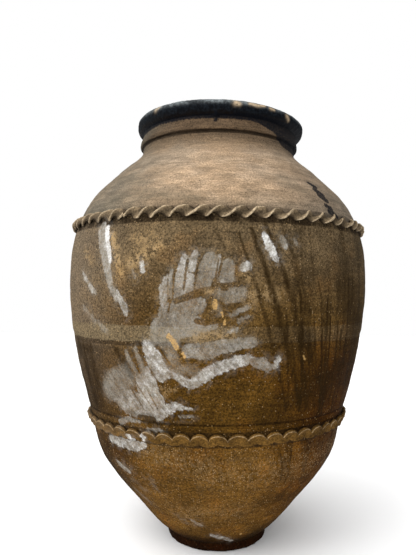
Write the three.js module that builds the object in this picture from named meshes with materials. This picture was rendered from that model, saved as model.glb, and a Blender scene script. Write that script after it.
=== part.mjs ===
// A large hand-built storage jar of fired clay: a foot disc, four wall sections, a collar and a rolled rim,
// luted together with slip, and two twisted clay ropes laid over the joints that carry the most load.
// Millimetres, +Z up. The origin is the centre of the underside, and -Y is the front.
import * as THREE from "three";

// ---- Driving dimensions ----

// Heights of the sections, from the ground up.
const heelHeight = 22;
const lowerWallHeight = 275;
const lowerBellyHeight = 193;
const upperBellyHeight = 240;
const shoulderHeight = 203;
const collarHeight = 32;
const rimHeight = 35;

// Outside radii, from the ground up.
const heelRadius = 118;
const conePointRadius = 200;
const kneeRadius = 277;
const lowerJointRadius = 299;
const bellyJointRadius = 344;
const bellyRadius = 354;
const upperJointRadius = 338.5;
const shoulderRoundRadius = 303;
const shoulderPointRadius = 246.5;
const neckRadius = 188;
const heelLean = 1;

// How far the collar and the rim stand out beyond the neck.
const collarFootOverhang = 6;
const collarTopOverhang = 3;
const rimOverhang = 16;

// The collar's lower edge is cut under, and is fullest a little above that. The rim is widest at its middle.
const collarUndercut = 3;
const collarUndercutRise = 2.5;
const collarBulge = 1;
const collarBulgeRise = 7;
const rimMiddleShare = 0.52;

// Heights of the outline's points in their own section, above its lower joint or below its upper one.
const conePointRise = 88;
const kneeDrop = 82;
const bellyPeakRise = 122;
const shoulderRoundRise = 70;
const shoulderPointDrop = 75;
const neckDrop = 10;

// Clay thickness, square to the wall.
const heelWall = 26;
const neckWall = 20;
const floorThickness = 27;
const heelEdgeRadius = 10;

// Joints: the upper edge of each section is bevelled up towards the inside and wears a coat of slip.
const jointRise = 7;
const slipThickness = 1.6;
const slipInset = 1.2;
const seatGap = 0.3;

// The guide line scored round the belly above the lower rope.
const grooveRise = 28;
const grooveDepth = 1.5;
const grooveHalfWidth = 2;

// The twisted ropes: a strip of clay that makes half a turn in each pitch.
const ropePitch = 36;
const ropeWidth = 21;
const ropeThickness = 12;
const ropeFlattening = 0.62;
const ropeBury = 2.5;
const ropeGap = 0.7;
const ropeEndGap = 0.6;
const upperSpliceDegrees = -33;
const lowerSpliceDegrees = 98;

// How finely the solids are cut.
const aroundSteps = 48;
const ropeStepsPerPitch = 3;
const ropeSidePoints = 6;

// ---- The outline of the wall ----

const lowerJoint = heelHeight + lowerWallHeight;
const bellyJoint = lowerJoint + lowerBellyHeight;
const upperJoint = bellyJoint + upperBellyHeight;
const collarJoint = upperJoint + shoulderHeight;
const rimJoint = collarJoint + collarHeight;

// Each station is [height, radius].
const stations = [
  [heelHeight, heelRadius],
  [heelHeight + conePointRise, conePointRadius],
  [lowerJoint - kneeDrop, kneeRadius],
  [lowerJoint, lowerJointRadius],
  [bellyJoint, bellyJointRadius],
  [bellyJoint + bellyPeakRise, bellyRadius],
  [upperJoint, upperJointRadius],
  [upperJoint + shoulderRoundRise, shoulderRoundRadius],
  [collarJoint - shoulderPointDrop, shoulderPointRadius],
  [collarJoint - neckDrop, neckRadius],
];
const lastStation = stations.length - 1;

// The lean is the change of radius with height. At a station it is between the slopes on either side of it,
// and nearer to that of the shorter side.
const leans = stations.map(([z, r], i) => {
  if (i === 0) return heelLean;
  if (i === lastStation) return 0;
  const [z0, r0] = stations[i - 1];
  const [z1, r1] = stations[i + 1];
  const below = (r - r0) / (z - z0);
  const above = (r1 - r) / (z1 - z);
  return THREE.MathUtils.lerp(below, above, (z - z0) / (z1 - z0));
});

// Outside radius of the wall at a height, and its lean: a smooth curve through the stations.
function wallAt(height) {
  if (height >= stations[lastStation][0]) return { radius: stations[lastStation][1], lean: 0 };
  const i = stations.findIndex(([z]) => z > height) - 1;
  const [z0, r0] = stations[i];
  const [z1, r1] = stations[i + 1];
  const span = z1 - z0;
  const t = (height - z0) / span;
  const radius =
    (2 * t ** 3 - 3 * t ** 2 + 1) * r0 +
    (t ** 3 - 2 * t ** 2 + t) * span * leans[i] +
    (3 * t ** 2 - 2 * t ** 3) * r1 +
    (t ** 3 - t ** 2) * span * leans[i + 1];
  const lean =
    ((6 * t ** 2 - 6 * t) * (r0 - r1)) / span +
    (3 * t ** 2 - 4 * t + 1) * leans[i] +
    (3 * t ** 2 - 2 * t) * leans[i + 1];
  return { radius, lean };
}

// Inside radius at a height: the wall thins evenly from the heel to the neck.
function boreAt(height) {
  const { radius, lean } = wallAt(height);
  const share = THREE.MathUtils.clamp((height - heelHeight) / (collarJoint - heelHeight), 0, 1);
  const thickness = THREE.MathUtils.lerp(heelWall, neckWall, share);
  return radius - thickness * Math.hypot(1, lean);
}

const neckBore = neckRadius - neckWall;
const collarFootRadius = neckRadius + collarFootOverhang;
const collarTopRadius = neckRadius + collarTopOverhang;
const rimRadius = neckRadius + rimOverhang;

// ---- Solids ----

const clay = (colour) =>
  new THREE.MeshStandardMaterial({ color: colour, roughness: 0.88, metalness: 0 });
const materials = {
  lowerClay: clay(0x6b4a2c),
  upperClay: clay(0x9a7c5c),
  ropeClay: clay(0x7d6549),
  slip: clay(0x8a6a4a),
  tar: new THREE.MeshStandardMaterial({ color: 0x1b1c1d, roughness: 0.6, metalness: 0 }),
};

const jar = new THREE.Group();

function addMesh(name, geometry, material) {
  const mesh = new THREE.Mesh(geometry, material);
  mesh.name = name;
  jar.add(mesh);
}

// A solid of revolution about Z. Its outline of [radius, height] runs up the outside and down the inside.
function turned(name, outline, material) {
  const closed = outline[0][0] === 0 ? outline : [...outline, outline[0]];
  const points = closed.map(([radius, height]) => new THREE.Vector2(radius, height));
  const geometry = new THREE.LatheGeometry(points, aroundSteps);
  geometry.rotateX(Math.PI / 2);
  addMesh(name, geometry, material);
}

// Heights from low to high in equal steps.
function heightsBetween(low, high, steps) {
  return Array.from({ length: steps + 1 }, (_, i) => THREE.MathUtils.lerp(low, high, i / steps));
}

const halfSeam = slipThickness / 2 + seatGap;

// The radii where a bevelled joint meets the outside of the wall and the bore.
const joints = {
  foot: { height: heelHeight, outer: heelRadius },
  lower: { height: lowerJoint, outer: lowerJointRadius },
  belly: { height: bellyJoint, outer: bellyJointRadius },
  shoulder: { height: upperJoint, outer: upperJointRadius },
  collar: { height: collarJoint, outer: neckRadius, inner: neckBore },
  rim: { height: rimJoint, outer: collarTopRadius, inner: neckBore },
};

// A point on a joint's bevel as [radius, height]: inset from the outside (or, with fromBore, from the bore),
// and moved up or down by the offset.
function bevelPoint(joint, offset, inset = 0, fromBore = false) {
  const inner = joint.inner ?? boreAt(joint.height + jointRise);
  const depth = joint.outer - inner;
  const share = fromBore ? 1 - inset / depth : inset / depth;
  return [joint.outer - share * depth, joint.height + share * jointRise + offset];
}

// The outside of all wall sections as built, from the ground up, as [radius, height].
const outerEdge = [];

// One wall section between two joints, with the bore following the outside.
function wallSection(name, lowJoint, highJoint, steps, material, scoreAt) {
  const heights = heightsBetween(lowJoint.height, highJoint.height, steps).slice(1, -1);
  const outerHeights = [...heights];
  if (scoreAt !== undefined) {
    outerHeights.push(scoreAt - grooveHalfWidth, scoreAt, scoreAt + grooveHalfWidth);
    outerHeights.sort((a, b) => a - b);
  }
  const outside = [
    bevelPoint(lowJoint, halfSeam),
    ...outerHeights.map((z) => [wallAt(z).radius - (z === scoreAt ? grooveDepth : 0), z]),
    bevelPoint(highJoint, -halfSeam),
  ];
  outerEdge.push(...outside);
  const inside = heights.map((z) => [boreAt(z + jointRise), z + jointRise]).reverse();
  turned(
    name,
    [
      ...outside,
      bevelPoint(highJoint, -halfSeam, 0, true),
      ...inside,
      bevelPoint(lowJoint, halfSeam, 0, true),
    ],
    material,
  );
}

// The coat of slip in a joint, set back a little from both faces of the wall.
function slipRing(name, joint) {
  const half = slipThickness / 2;
  turned(
    name,
    [
      bevelPoint(joint, -half, slipInset),
      bevelPoint(joint, half, slipInset),
      bevelPoint(joint, half, slipInset, true),
      bevelPoint(joint, -half, slipInset, true),
    ],
    materials.slip,
  );
}

function footDisc() {
  const edge = new THREE.EllipseCurve(
    heelRadius - heelEdgeRadius,
    heelEdgeRadius,
    heelEdgeRadius,
    heelEdgeRadius,
    -Math.PI / 2,
    0,
  )
    .getPoints(4)
    .map((p) => [p.x, p.y]);
  const seat = [bevelPoint(joints.foot, -halfSeam), bevelPoint(joints.foot, -halfSeam, 0, true)];
  turned("foot_disc", [[0, 0], ...edge, ...seat, [0, floorThickness]], materials.lowerClay);
}

function collar() {
  const low = collarJoint + halfSeam;
  const high = rimJoint - halfSeam;
  turned(
    "neck_collar",
    [
      [collarFootRadius - collarUndercut, low],
      [collarFootRadius, low + collarUndercutRise],
      [collarFootRadius + collarBulge, low + collarBulgeRise],
      [(collarFootRadius + collarTopRadius) / 2, (low + collarBulgeRise + high) / 2],
      [collarTopRadius, high],
      [neckBore, high + jointRise],
      [neckBore, low + jointRise],
    ],
    materials.upperClay,
  );
}

function rim() {
  const low = rimJoint + halfSeam;
  const top = rimJoint + rimHeight;
  const crownRadius = (rimRadius + neckBore) / 2;
  const halfWidth = (rimRadius - neckBore) / 2;
  const middle = low + rimMiddleShare * (top - low);
  const arc = (below, from, to, steps) =>
    new THREE.EllipseCurve(crownRadius, middle, halfWidth, below, from, to)
      .getPoints(steps)
      .map((p) => [p.x, p.y]);
  const underside = arc(middle - low, -Math.PI / 4, 0, 3);
  const crown = arc(top - middle, 0, Math.PI, 8).slice(1);
  turned(
    "rim_bead",
    [[collarTopRadius, low], ...underside, ...crown, [neckBore, low + jointRise]],
    materials.tar,
  );
}

// ---- The twisted ropes ----

// A point on a ring, by its angle from the front (positive towards +X), its radius and its height.
function onRing(angle, radius, height) {
  return [radius * Math.sin(angle), -radius * Math.cos(angle), height];
}

// The cross-section of the rope at one angle of twist, as [along the wall, out from the wall].
function ropeSection(twist) {
  const outline = [];
  for (let i = 0; i < ropeSidePoints; i += 1) {
    const around = (2 * Math.PI * i) / ropeSidePoints;
    const x = (ropeWidth / 2) * Math.cos(around);
    const y = (ropeThickness / 2) * Math.sin(around);
    const along = x * Math.cos(twist) - y * Math.sin(twist);
    const out = x * Math.sin(twist) + y * Math.cos(twist);
    outline.push([along, Math.max(0, out * ropeFlattening + ropeThickness / 2 - ropeBury)]);
  }
  return outline;
}

// Radius of the built wall at a height, straight from one outline point to the next.
function edgeAt(height) {
  const i = outerEdge.findIndex(([, z]) => z > height);
  const [r0, z0] = outerEdge[i - 1];
  const [r1, z1] = outerEdge[i];
  return THREE.MathUtils.mapLinear(height, z0, z1, r0, r1);
}

// How a rope lies at a joint: the wall's lean there, and what it adds to the wall's radius, so that it clears the
// wall where that bulges between two neighbouring edges of the rope.
function ropeSeat(joint) {
  const { lean } = wallAt(joint);
  const slant = Math.hypot(1, lean);
  const low = joint - ropeWidth / 4;
  const high = joint + ropeWidth / 4;
  const chordAt = (z) => THREE.MathUtils.mapLinear(z, low, high, edgeAt(low), edgeAt(high));
  const between = outerEdge.filter(([, z]) => z > low && z < high);
  const bulge = Math.max(0, ...between.map(([r, z]) => r - chordAt(z)));
  return { lean, slant, clearance: bulge + ropeGap * slant };
}

// One length of rope round the wall at a joint, from one angle to the other, with flat ends.
function ropeLength(name, joint, fromAngle, toAngle, pitchCount) {
  const seat = ropeSeat(joint);
  const steps = Math.round(((toAngle - fromAngle) / (2 * Math.PI)) * pitchCount * ropeStepsPerPitch);
  const positions = [];
  const sections = [];
  for (let s = 0; s <= steps; s += 1) {
    const angle = THREE.MathUtils.lerp(fromAngle, toAngle, s / steps);
    const twist = -(angle * pitchCount) / 2;
    sections.push(
      ropeSection(twist).map(([along, out]) => {
        const height = joint + along / seat.slant;
        const radius = edgeAt(height) + seat.clearance + out / seat.slant;
        positions.push(...onRing(angle, radius, height - (out * seat.lean) / seat.slant));
        return positions.length / 3 - 1;
      }),
    );
  }
  const faces = [];
  for (let s = 0; s < steps; s += 1) {
    for (let i = 0; i < ropeSidePoints; i += 1) {
      const j = (i + 1) % ropeSidePoints;
      const [a, b, c, d] = [sections[s][i], sections[s][j], sections[s + 1][j], sections[s + 1][i]];
      faces.push(a, b, c, a, c, d);
    }
  }
  for (let i = 1; i < ropeSidePoints - 1; i += 1) {
    const [first, last] = [sections[0], sections[steps]];
    faces.push(first[0], first[i + 1], first[i]);
    faces.push(last[0], last[i], last[i + 1]);
  }
  const geometry = new THREE.BufferGeometry();
  geometry.setAttribute("position", new THREE.Float32BufferAttribute(positions, 3));
  geometry.setIndex(faces);
  geometry.computeVertexNormals();
  addMesh(name, geometry, materials.ropeClay);
}

// A band of two lengths that meet at the splice and on the far side from it.
function ropeBand(name, joint, spliceDegrees) {
  const radius = wallAt(joint).radius;
  const pitchCount = 2 * Math.round((Math.PI * radius) / ropePitch);
  const splice = THREE.MathUtils.degToRad(spliceDegrees);
  const halfGap = ropeEndGap / 2 / radius;
  for (const [index, start] of [splice, splice + Math.PI].entries()) {
    const end = start + Math.PI - halfGap;
    ropeLength(`${name}_length_${index + 1}`, joint, start + halfGap, end, pitchCount);
  }
}

// ---- Assembly, from the ground up ----

footDisc();
slipRing("slip_joint_foot", joints.foot);
wallSection("lower_wall", joints.foot, joints.lower, 6, materials.lowerClay);
slipRing("slip_joint_lower", joints.lower);
wallSection(
  "lower_belly_wall",
  joints.lower,
  joints.belly,
  4,
  materials.lowerClay,
  lowerJoint + grooveRise,
);
slipRing("slip_joint_belly", joints.belly);
wallSection("upper_belly_wall", joints.belly, joints.shoulder, 6, materials.lowerClay);
slipRing("slip_joint_shoulder", joints.shoulder);
wallSection("shoulder_wall", joints.shoulder, joints.collar, 8, materials.upperClay);
slipRing("slip_joint_collar", joints.collar);
collar();
slipRing("slip_joint_rim", joints.rim);
rim();
ropeBand("lower_rope", lowerJoint, lowerSpliceDegrees);
ropeBand("upper_rope", upperJoint, upperSpliceDegrees);

export default jar;
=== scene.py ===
import math

import bpy
import numpy as np
from mathutils import Matrix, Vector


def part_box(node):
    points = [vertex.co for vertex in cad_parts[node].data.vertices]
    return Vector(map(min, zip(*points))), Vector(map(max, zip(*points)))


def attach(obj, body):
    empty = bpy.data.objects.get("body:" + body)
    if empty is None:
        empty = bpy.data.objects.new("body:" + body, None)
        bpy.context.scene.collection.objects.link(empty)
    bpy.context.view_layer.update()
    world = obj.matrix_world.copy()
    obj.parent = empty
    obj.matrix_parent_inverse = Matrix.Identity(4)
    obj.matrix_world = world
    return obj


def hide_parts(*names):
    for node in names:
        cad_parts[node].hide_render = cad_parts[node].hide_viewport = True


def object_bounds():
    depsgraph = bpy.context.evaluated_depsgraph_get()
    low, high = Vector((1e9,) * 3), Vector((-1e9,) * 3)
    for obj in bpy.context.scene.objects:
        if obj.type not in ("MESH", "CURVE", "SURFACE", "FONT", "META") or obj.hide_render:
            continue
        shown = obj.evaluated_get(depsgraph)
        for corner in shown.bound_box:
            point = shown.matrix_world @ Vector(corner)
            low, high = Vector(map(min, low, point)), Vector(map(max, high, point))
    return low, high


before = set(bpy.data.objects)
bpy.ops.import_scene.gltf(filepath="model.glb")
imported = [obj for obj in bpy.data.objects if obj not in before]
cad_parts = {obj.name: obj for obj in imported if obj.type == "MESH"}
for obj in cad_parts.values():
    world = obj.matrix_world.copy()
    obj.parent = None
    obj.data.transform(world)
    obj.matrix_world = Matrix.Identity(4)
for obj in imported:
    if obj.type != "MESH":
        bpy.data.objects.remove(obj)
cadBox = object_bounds()
print("frame loaded:", len(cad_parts), "nodes")


# The eye stands close in front of the jar, at the height of its belly, and looks up a little.
cameraValues = {
    "lens": 34.35,
    "sideways": -0.022,
    "distance": 1.325,
    "height": 0.566,
    "lookUp": 2.35,
    "roll": 0.55,
}


def makeCamera(values):
    data = bpy.data.cameras.new("camera")
    data.lens = values["lens"]
    data.sensor_width = 36
    data.clip_start = 0.01
    camera = bpy.data.objects.new("camera", data)
    bpy.context.scene.collection.objects.link(camera)
    lookUp = Matrix.Rotation(math.radians(90 + values["lookUp"]), 4, "X")
    roll = Matrix.Rotation(math.radians(values["roll"]), 4, "Z")
    camera.rotation_euler = (lookUp @ roll).to_euler()
    camera.location = (values["sideways"], -values["distance"], values["height"])
    bpy.context.scene.camera = camera


makeCamera(cameraValues)


# Where the sections meet, and how wide the jar is there, all from the frame.

halfSeam = 0.0011  # half the gap that the sections leave for the slip
jointRise = 0.007  # how far a bevelled joint rises towards the inside


def jointBelow(node):
    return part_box(node)[0].z - halfSeam


def halfWidth(node):
    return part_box(node)[1].x


joints = {
    "foot": jointBelow("lower_wall"),
    "lower": jointBelow("lower_belly_wall"),
    "belly": jointBelow("upper_belly_wall"),
    "shoulder": jointBelow("shoulder_wall"),
    "collar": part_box("slip_joint_collar")[0].z + 0.0006,
    "rim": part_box("slip_joint_rim")[0].z + 0.0006,
    "top": cadBox[1].z,
}

# What shapes the wall between the joints.
wallValues = {
    "heelFlareRise": 0.006,
    "heelFlareRadius": 0.1255,
    "heelLean": 1.2,
    "coneRise": 0.088,
    "coneRadius": 0.2,
    "kneeDrop": 0.082,
    "kneeRadius": 0.277,
    "bellyRise": 0.122,
    "shoulderRise": 0.07,
    "shoulderRadius": 0.303,
    "shoulderDrop": 0.075,
    "shoulderDropRadius": 0.2465,
    "neckDrop": 0.01,
    "neckRadius": 0.188,
    "heelWall": 0.026,
    "neckWall": 0.02,
}

stations = np.array(
    [
        (joints["foot"], halfWidth("foot_disc")),
        (joints["foot"] + wallValues["heelFlareRise"], wallValues["heelFlareRadius"]),
        (joints["foot"] + wallValues["coneRise"], wallValues["coneRadius"]),
        (joints["lower"] - wallValues["kneeDrop"], wallValues["kneeRadius"]),
        (joints["lower"], halfWidth("lower_wall")),
        (joints["belly"], halfWidth("lower_belly_wall")),
        (joints["belly"] + wallValues["bellyRise"], halfWidth("upper_belly_wall")),
        (joints["shoulder"], halfWidth("shoulder_wall")),
        (joints["shoulder"] + wallValues["shoulderRise"], wallValues["shoulderRadius"]),
        (joints["collar"] - wallValues["shoulderDrop"], wallValues["shoulderDropRadius"]),
        (joints["collar"] - wallValues["neckDrop"], wallValues["neckRadius"]),
    ]
)


def stationLeans():
    # the lean at a station lies between the slopes on either side, nearer to that of the shorter side
    rise = np.diff(stations[:, 0])
    slope = np.diff(stations[:, 1]) / rise
    share = rise[:-1] / (rise[:-1] + rise[1:])
    between = slope[:-1] * (1 - share) + slope[1:] * share
    return np.concatenate([[wallValues["heelLean"]], between, [0]])


leans = stationLeans()


def wallRadius(height):
    height = np.clip(height, stations[0, 0], stations[-1, 0])
    i = np.clip(np.searchsorted(stations[:, 0], height, "right") - 1, 0, len(stations) - 2)
    span = stations[i + 1, 0] - stations[i, 0]
    t = (height - stations[i, 0]) / span
    return (
        (2 * t**3 - 3 * t**2 + 1) * stations[i, 1]
        + (t**3 - 2 * t**2 + t) * span * leans[i]
        + (3 * t**2 - 2 * t**3) * stations[i + 1, 1]
        + (t**3 - t**2) * span * leans[i + 1]
    )


def wallLean(height):
    step = 0.0005
    return (wallRadius(height + step) - wallRadius(height - step)) / (2 * step)


def boreRadius(height):
    share = np.clip((height - joints["foot"]) / (joints["collar"] - joints["foot"]), 0, 1)
    thickness = wallValues["heelWall"] + share * (wallValues["neckWall"] - wallValues["heelWall"])
    return wallRadius(height) - thickness * np.hypot(1, wallLean(height))


# Distance up the wall, measured along its slope, for marks that run over the surface.
climbHeights = np.linspace(0, joints["top"], 400)
climbSteps = np.hypot(np.diff(climbHeights), np.diff(wallRadius(climbHeights)))
climbs = np.concatenate([[0], np.cumsum(climbSteps)])


def climbAt(height):
    return np.interp(height, climbHeights, climbs)


# The hand of the potter: what makes the turned shapes uneven.

handValues = {
    "tiltHeights": (0, 0.3, 0.5, 0.73, 0.93, 1.0),
    "tiltDegrees": (0, 0.6, 0.2, -0.45, -0.8, -2.1),
    "shiftHeights": (0, 0.1, 0.25, 0.5, 0.72, 0.9, 0.94, 1.0),
    "shifts": (0.005, 0.0045, 0.002, 0, 0.001, 0, 0.002, 0.006),
    "ovalness": 0.0012,
    "waviness": 0.0007,
}


def ringNoise(angle, height, around, rowHeight, seed):
    # smooth noise from -1 to 1 that closes on itself round the jar
    rows = int(1.4 / rowHeight) + 4
    lattice = np.random.default_rng(seed).uniform(-1, 1, (rows, around))
    u = np.mod(angle / (2 * np.pi), 1) * around
    v = (height + 0.15) / rowHeight
    i = np.floor(u).astype(int)
    j = np.floor(v).astype(int)
    fu = u - i
    fv = v - j
    fu = fu * fu * (3 - 2 * fu)
    fv = fv * fv * (3 - 2 * fv)
    i0, i1 = i % around, (i + 1) % around
    j0, j1 = j % rows, (j + 1) % rows
    low = lattice[j0, i0] * (1 - fu) + lattice[j0, i1] * fu
    high = lattice[j1, i0] * (1 - fu) + lattice[j1, i1] * fu
    return low * (1 - fv) + high * fv


def handShaped(angle, radius, height):
    # leans the rings out of level and pushes them out of round, the same way for every piece
    oval = handValues["ovalness"] * np.cos(2 * angle + 0.9 + 4 * height)
    wave = handValues["waviness"] * np.cos(3 * angle - 1.3 + 7 * height)
    sway = np.clip(height / 0.1, 0, 1)
    radius = radius + (oval + wave) * sway * (radius > 0.01)
    tilt = np.interp(height, handValues["tiltHeights"], handValues["tiltDegrees"])
    shift = np.interp(height, handValues["shiftHeights"], handValues["shifts"])
    x = radius * np.sin(angle)
    y = -radius * np.cos(angle)
    return np.stack([x + shift, y, height + x * np.tan(np.radians(tilt))], 1)


# Lime on the surface: a strength, and the angle in degrees from the front, height and half width along it.

limeStrokes = [
    (0.95, [(-41.5, 0.704, 0.0075), (-40.5, 0.683, 0.007), (-39, 0.658, 0.006), (-38, 0.638, 0.003)]),
    (0.6, [
        (-44, 0.708, 0.011), (-42.5, 0.68, 0.0115), (-40.5, 0.651, 0.0095), (-39, 0.622, 0.0085),
        (-37.5, 0.598, 0.006), (-35, 0.563, 0.002),
    ]),
    (0.65, [(-34.5, 0.58, 0.002), (-33, 0.563, 0.005), (-31.5, 0.549, 0.0065), (-31, 0.536, 0.003)]),
    (0.6, [(-54, 0.619, 0.002), (-50, 0.599, 0.003), (-46.5, 0.583, 0.0035), (-44.5, 0.576, 0.002)]),
    (0.5, [(-28.5, 0.621, 0.0025), (-27.5, 0.607, 0.0025)]),
    (0.75, [(-25, 0.634, 0.003), (-24.5, 0.618, 0.0025)]),
    (0.45, [(-53.5, 0.549, 0.003), (-49, 0.533, 0.003), (-46, 0.517, 0.004)]),
    (0.5, [(-44, 0.518, 0.004), (-40.5, 0.503, 0.003)]),
    (0.6, [(-17.5, 0.56, 0.005), (-17, 0.586, 0.0095), (-16, 0.607, 0.004)]),
    (0.5, [(-15, 0.573, 0.0025), (-15, 0.618, 0.002)]),
    (0.68, [(-12.5, 0.586, 0.0095), (-11.5, 0.616, 0.0105), (-11, 0.642, 0.0055)]),
    (0.6, [(-13, 0.568, 0.0115), (-12, 0.592, 0.0115)]),
    (0.68, [(-8.5, 0.623, 0.0055), (-8, 0.638, 0.0085), (-7.5, 0.649, 0.0055)]),
    (0.6, [(-10, 0.579, 0.0115), (-9, 0.605, 0.0075)]),
    (0.5, [(-5, 0.594, 0.0135), (-4, 0.62, 0.015), (-3, 0.638, 0.0135)]),
    (0.6, [(-1.5, 0.611, 0.004), (-0.5, 0.646, 0.0025)]),
    (0.5, [(2, 0.609, 0.0135), (2.5, 0.631, 0.0095)]),
    (0.8, [(1, 0.6, 0.0025), (2, 0.624, 0.003)]),
    (0.7, [(7.5, 0.626, 0.0075), (8, 0.628, 0.0075)]),
    (0.52, [(-16, 0.538, 0.018), (-11.5, 0.548, 0.018), (-6.5, 0.555, 0.014)]),
    (0.5, [(-18.5, 0.51, 0.02), (-13, 0.516, 0.024), (-7, 0.518, 0.016)]),
    (0.42, [(-20, 0.492, 0.014), (-15.5, 0.483, 0.017)]),
    (0.45, [(-1, 0.576, 0.0075), (3, 0.572, 0.015), (6.5, 0.576, 0.0115)]),
    (0.4, [(-1.5, 0.557, 0.0055), (0, 0.541, 0.0065)]),
    (0.5, [(3.5, 0.537, 0.003), (6, 0.545, 0.003), (9, 0.551, 0.002)]),
    (0.5, [(6, 0.526, 0.003), (8.5, 0.534, 0.0025)]),
    (0.6, [(3, 0.506, 0.002), (5.5, 0.51, 0.002)]),
    (0.5, [(-4.5, 0.511, 0.0065), (-1.5, 0.519, 0.0055)]),
    (0.55, [
        (-9.5, 0.47, 0.0115), (-4.5, 0.47, 0.015), (1, 0.478, 0.0115), (6.5, 0.484, 0.0095),
        (10.5, 0.486, 0.0075),
    ]),
    (0.35, [(-13, 0.433, 0.0115), (-8, 0.432, 0.0115)]),
    (0.68, [(-15.5, 0.428, 0.0065), (-12.5, 0.416, 0.0075), (-9.5, 0.405, 0.0075), (-6, 0.419, 0.0115)]),
    (0.7, [
        (-6, 0.419, 0.0115), (-2, 0.433, 0.0105), (1.5, 0.442, 0.0095), (5.5, 0.45, 0.0105),
        (9, 0.454, 0.0085),
    ]),
    (0.55, [(11, 0.45, 0.0065), (14, 0.446, 0.0105), (16, 0.438, 0.0075)]),
    (0.7, [(18.5, 0.439, 0.0035), (19.5, 0.453, 0.004)]),
    (0.72, [(-23.5, 0.477, 0.01), (-21.5, 0.452, 0.016), (-19, 0.425, 0.017)]),
    (0.4, [(-16, 0.47, 0.012), (-15, 0.45, 0.014)]),
    (0.66, [(-23, 0.426, 0.0135), (-25.5, 0.401, 0.021), (-23.5, 0.374, 0.021), (-21, 0.352, 0.014)]),
    (0.4, [(-34, 0.412, 0.026), (-40, 0.396, 0.028), (-44, 0.38, 0.022)]),
    (0.6, [(-38, 0.38, 0.018), (-30.5, 0.361, 0.022), (-23.5, 0.346, 0.015)]),
    (0.6, [(-44.5, 0.386, 0.008), (-41, 0.368, 0.011), (-37, 0.35, 0.008)]),
    (0.5, [(-36, 0.342, 0.005), (-31, 0.337, 0.006), (-26, 0.334, 0.005)]),
    (0.5, [(-32, 0.462, 0.0025), (-30, 0.435, 0.004), (-28, 0.412, 0.005)]),
    (0.5, [(-28, 0.471, 0.0025), (-26.5, 0.436, 0.0055), (-25, 0.409, 0.0055)]),
    (0.75, [(-21, 0.339, 0.0055), (-18, 0.355, 0.0085), (-15, 0.362, 0.0075), (-13, 0.359, 0.004)]),
    (0.7, [(-12.5, 0.359, 0.002), (-9.5, 0.358, 0.0015)]),
    (0.5, [(-14, 0.342, 0.0015), (-9.5, 0.344, 0.0015)]),
    (0.55, [(-41, 0.315, 0.004), (-35.5, 0.326, 0.004), (-31, 0.323, 0.003)]),
    (0.55, [(-27, 0.311, 0.002), (-21.5, 0.31, 0.002)]),
    (0.7, [(-50, 0.272, 0.0065), (-42, 0.271, 0.0105), (-35, 0.269, 0.0095), (-30, 0.276, 0.004)]),
    (0.8, [(-36.5, 0.291, 0.0035), (-35, 0.286, 0.003)]),
    (0.8, [(-29.5, 0.297, 0.003), (-29, 0.289, 0.0025)]),
    (0.55, [(-49, 0.218, 0.005), (-44, 0.206, 0.006)]),
    (0.36, [(-32, 0.2, 0.003), (-30, 0.185, 0.004), (-28.8, 0.168, 0.002)]),
    (0.4, [(-49.5, 0.148, 0.004), (-43.5, 0.123, 0.005)]),
    (0.34, [(-45, 0.222, 0.004), (-40, 0.212, 0.002)]),
    (0.32, [(-43, 0.18, 0.002), (-39, 0.164, 0.003)]),
    (0.34, [(-28, 0.106, 0.0015), (-21, 0.092, 0.0025), (-16, 0.085, 0.001)]),
    (0.8, [(13.5, 0.69, 0.003), (15.5, 0.663, 0.007), (17.5, 0.64, 0.004)]),
    (0.6, [(19.5, 0.684, 0.003), (20.5, 0.667, 0.004)]),
    (0.5, [(24, 0.679, 0.003), (24.5, 0.673, 0.002)]),
    (0.7, [(-4.5, 0.055, 0.003), (4, 0.044, 0.006), (12.5, 0.031, 0.003)]),
    (0.5, [(-17, 0.098, 0.002), (-12, 0.085, 0.003)]),
    (0.7, [(132, 0.69, 0.012), (135, 0.63, 0.016), (136, 0.57, 0.006)]),
    (0.55, [(150, 0.56, 0.014), (158, 0.54, 0.026), (167, 0.545, 0.018), (174, 0.56, 0.006)]),
    (0.6, [(152, 0.5, 0.01), (160, 0.48, 0.02), (170, 0.485, 0.008)]),
    (0.55, [(-122, 0.62, 0.006), (-118, 0.57, 0.012), (-116, 0.53, 0.004)]),
    (0.5, [(-104, 0.42, 0.01), (-110, 0.4, 0.018), (-119, 0.395, 0.006)]),
    (0.6, [(88, 0.6, 0.005), (91, 0.57, 0.009), (92, 0.55, 0.003)]),
    (0.5, [(-160, 0.21, 0.006), (-152, 0.2, 0.013), (-146, 0.185, 0.005)]),
]

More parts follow.
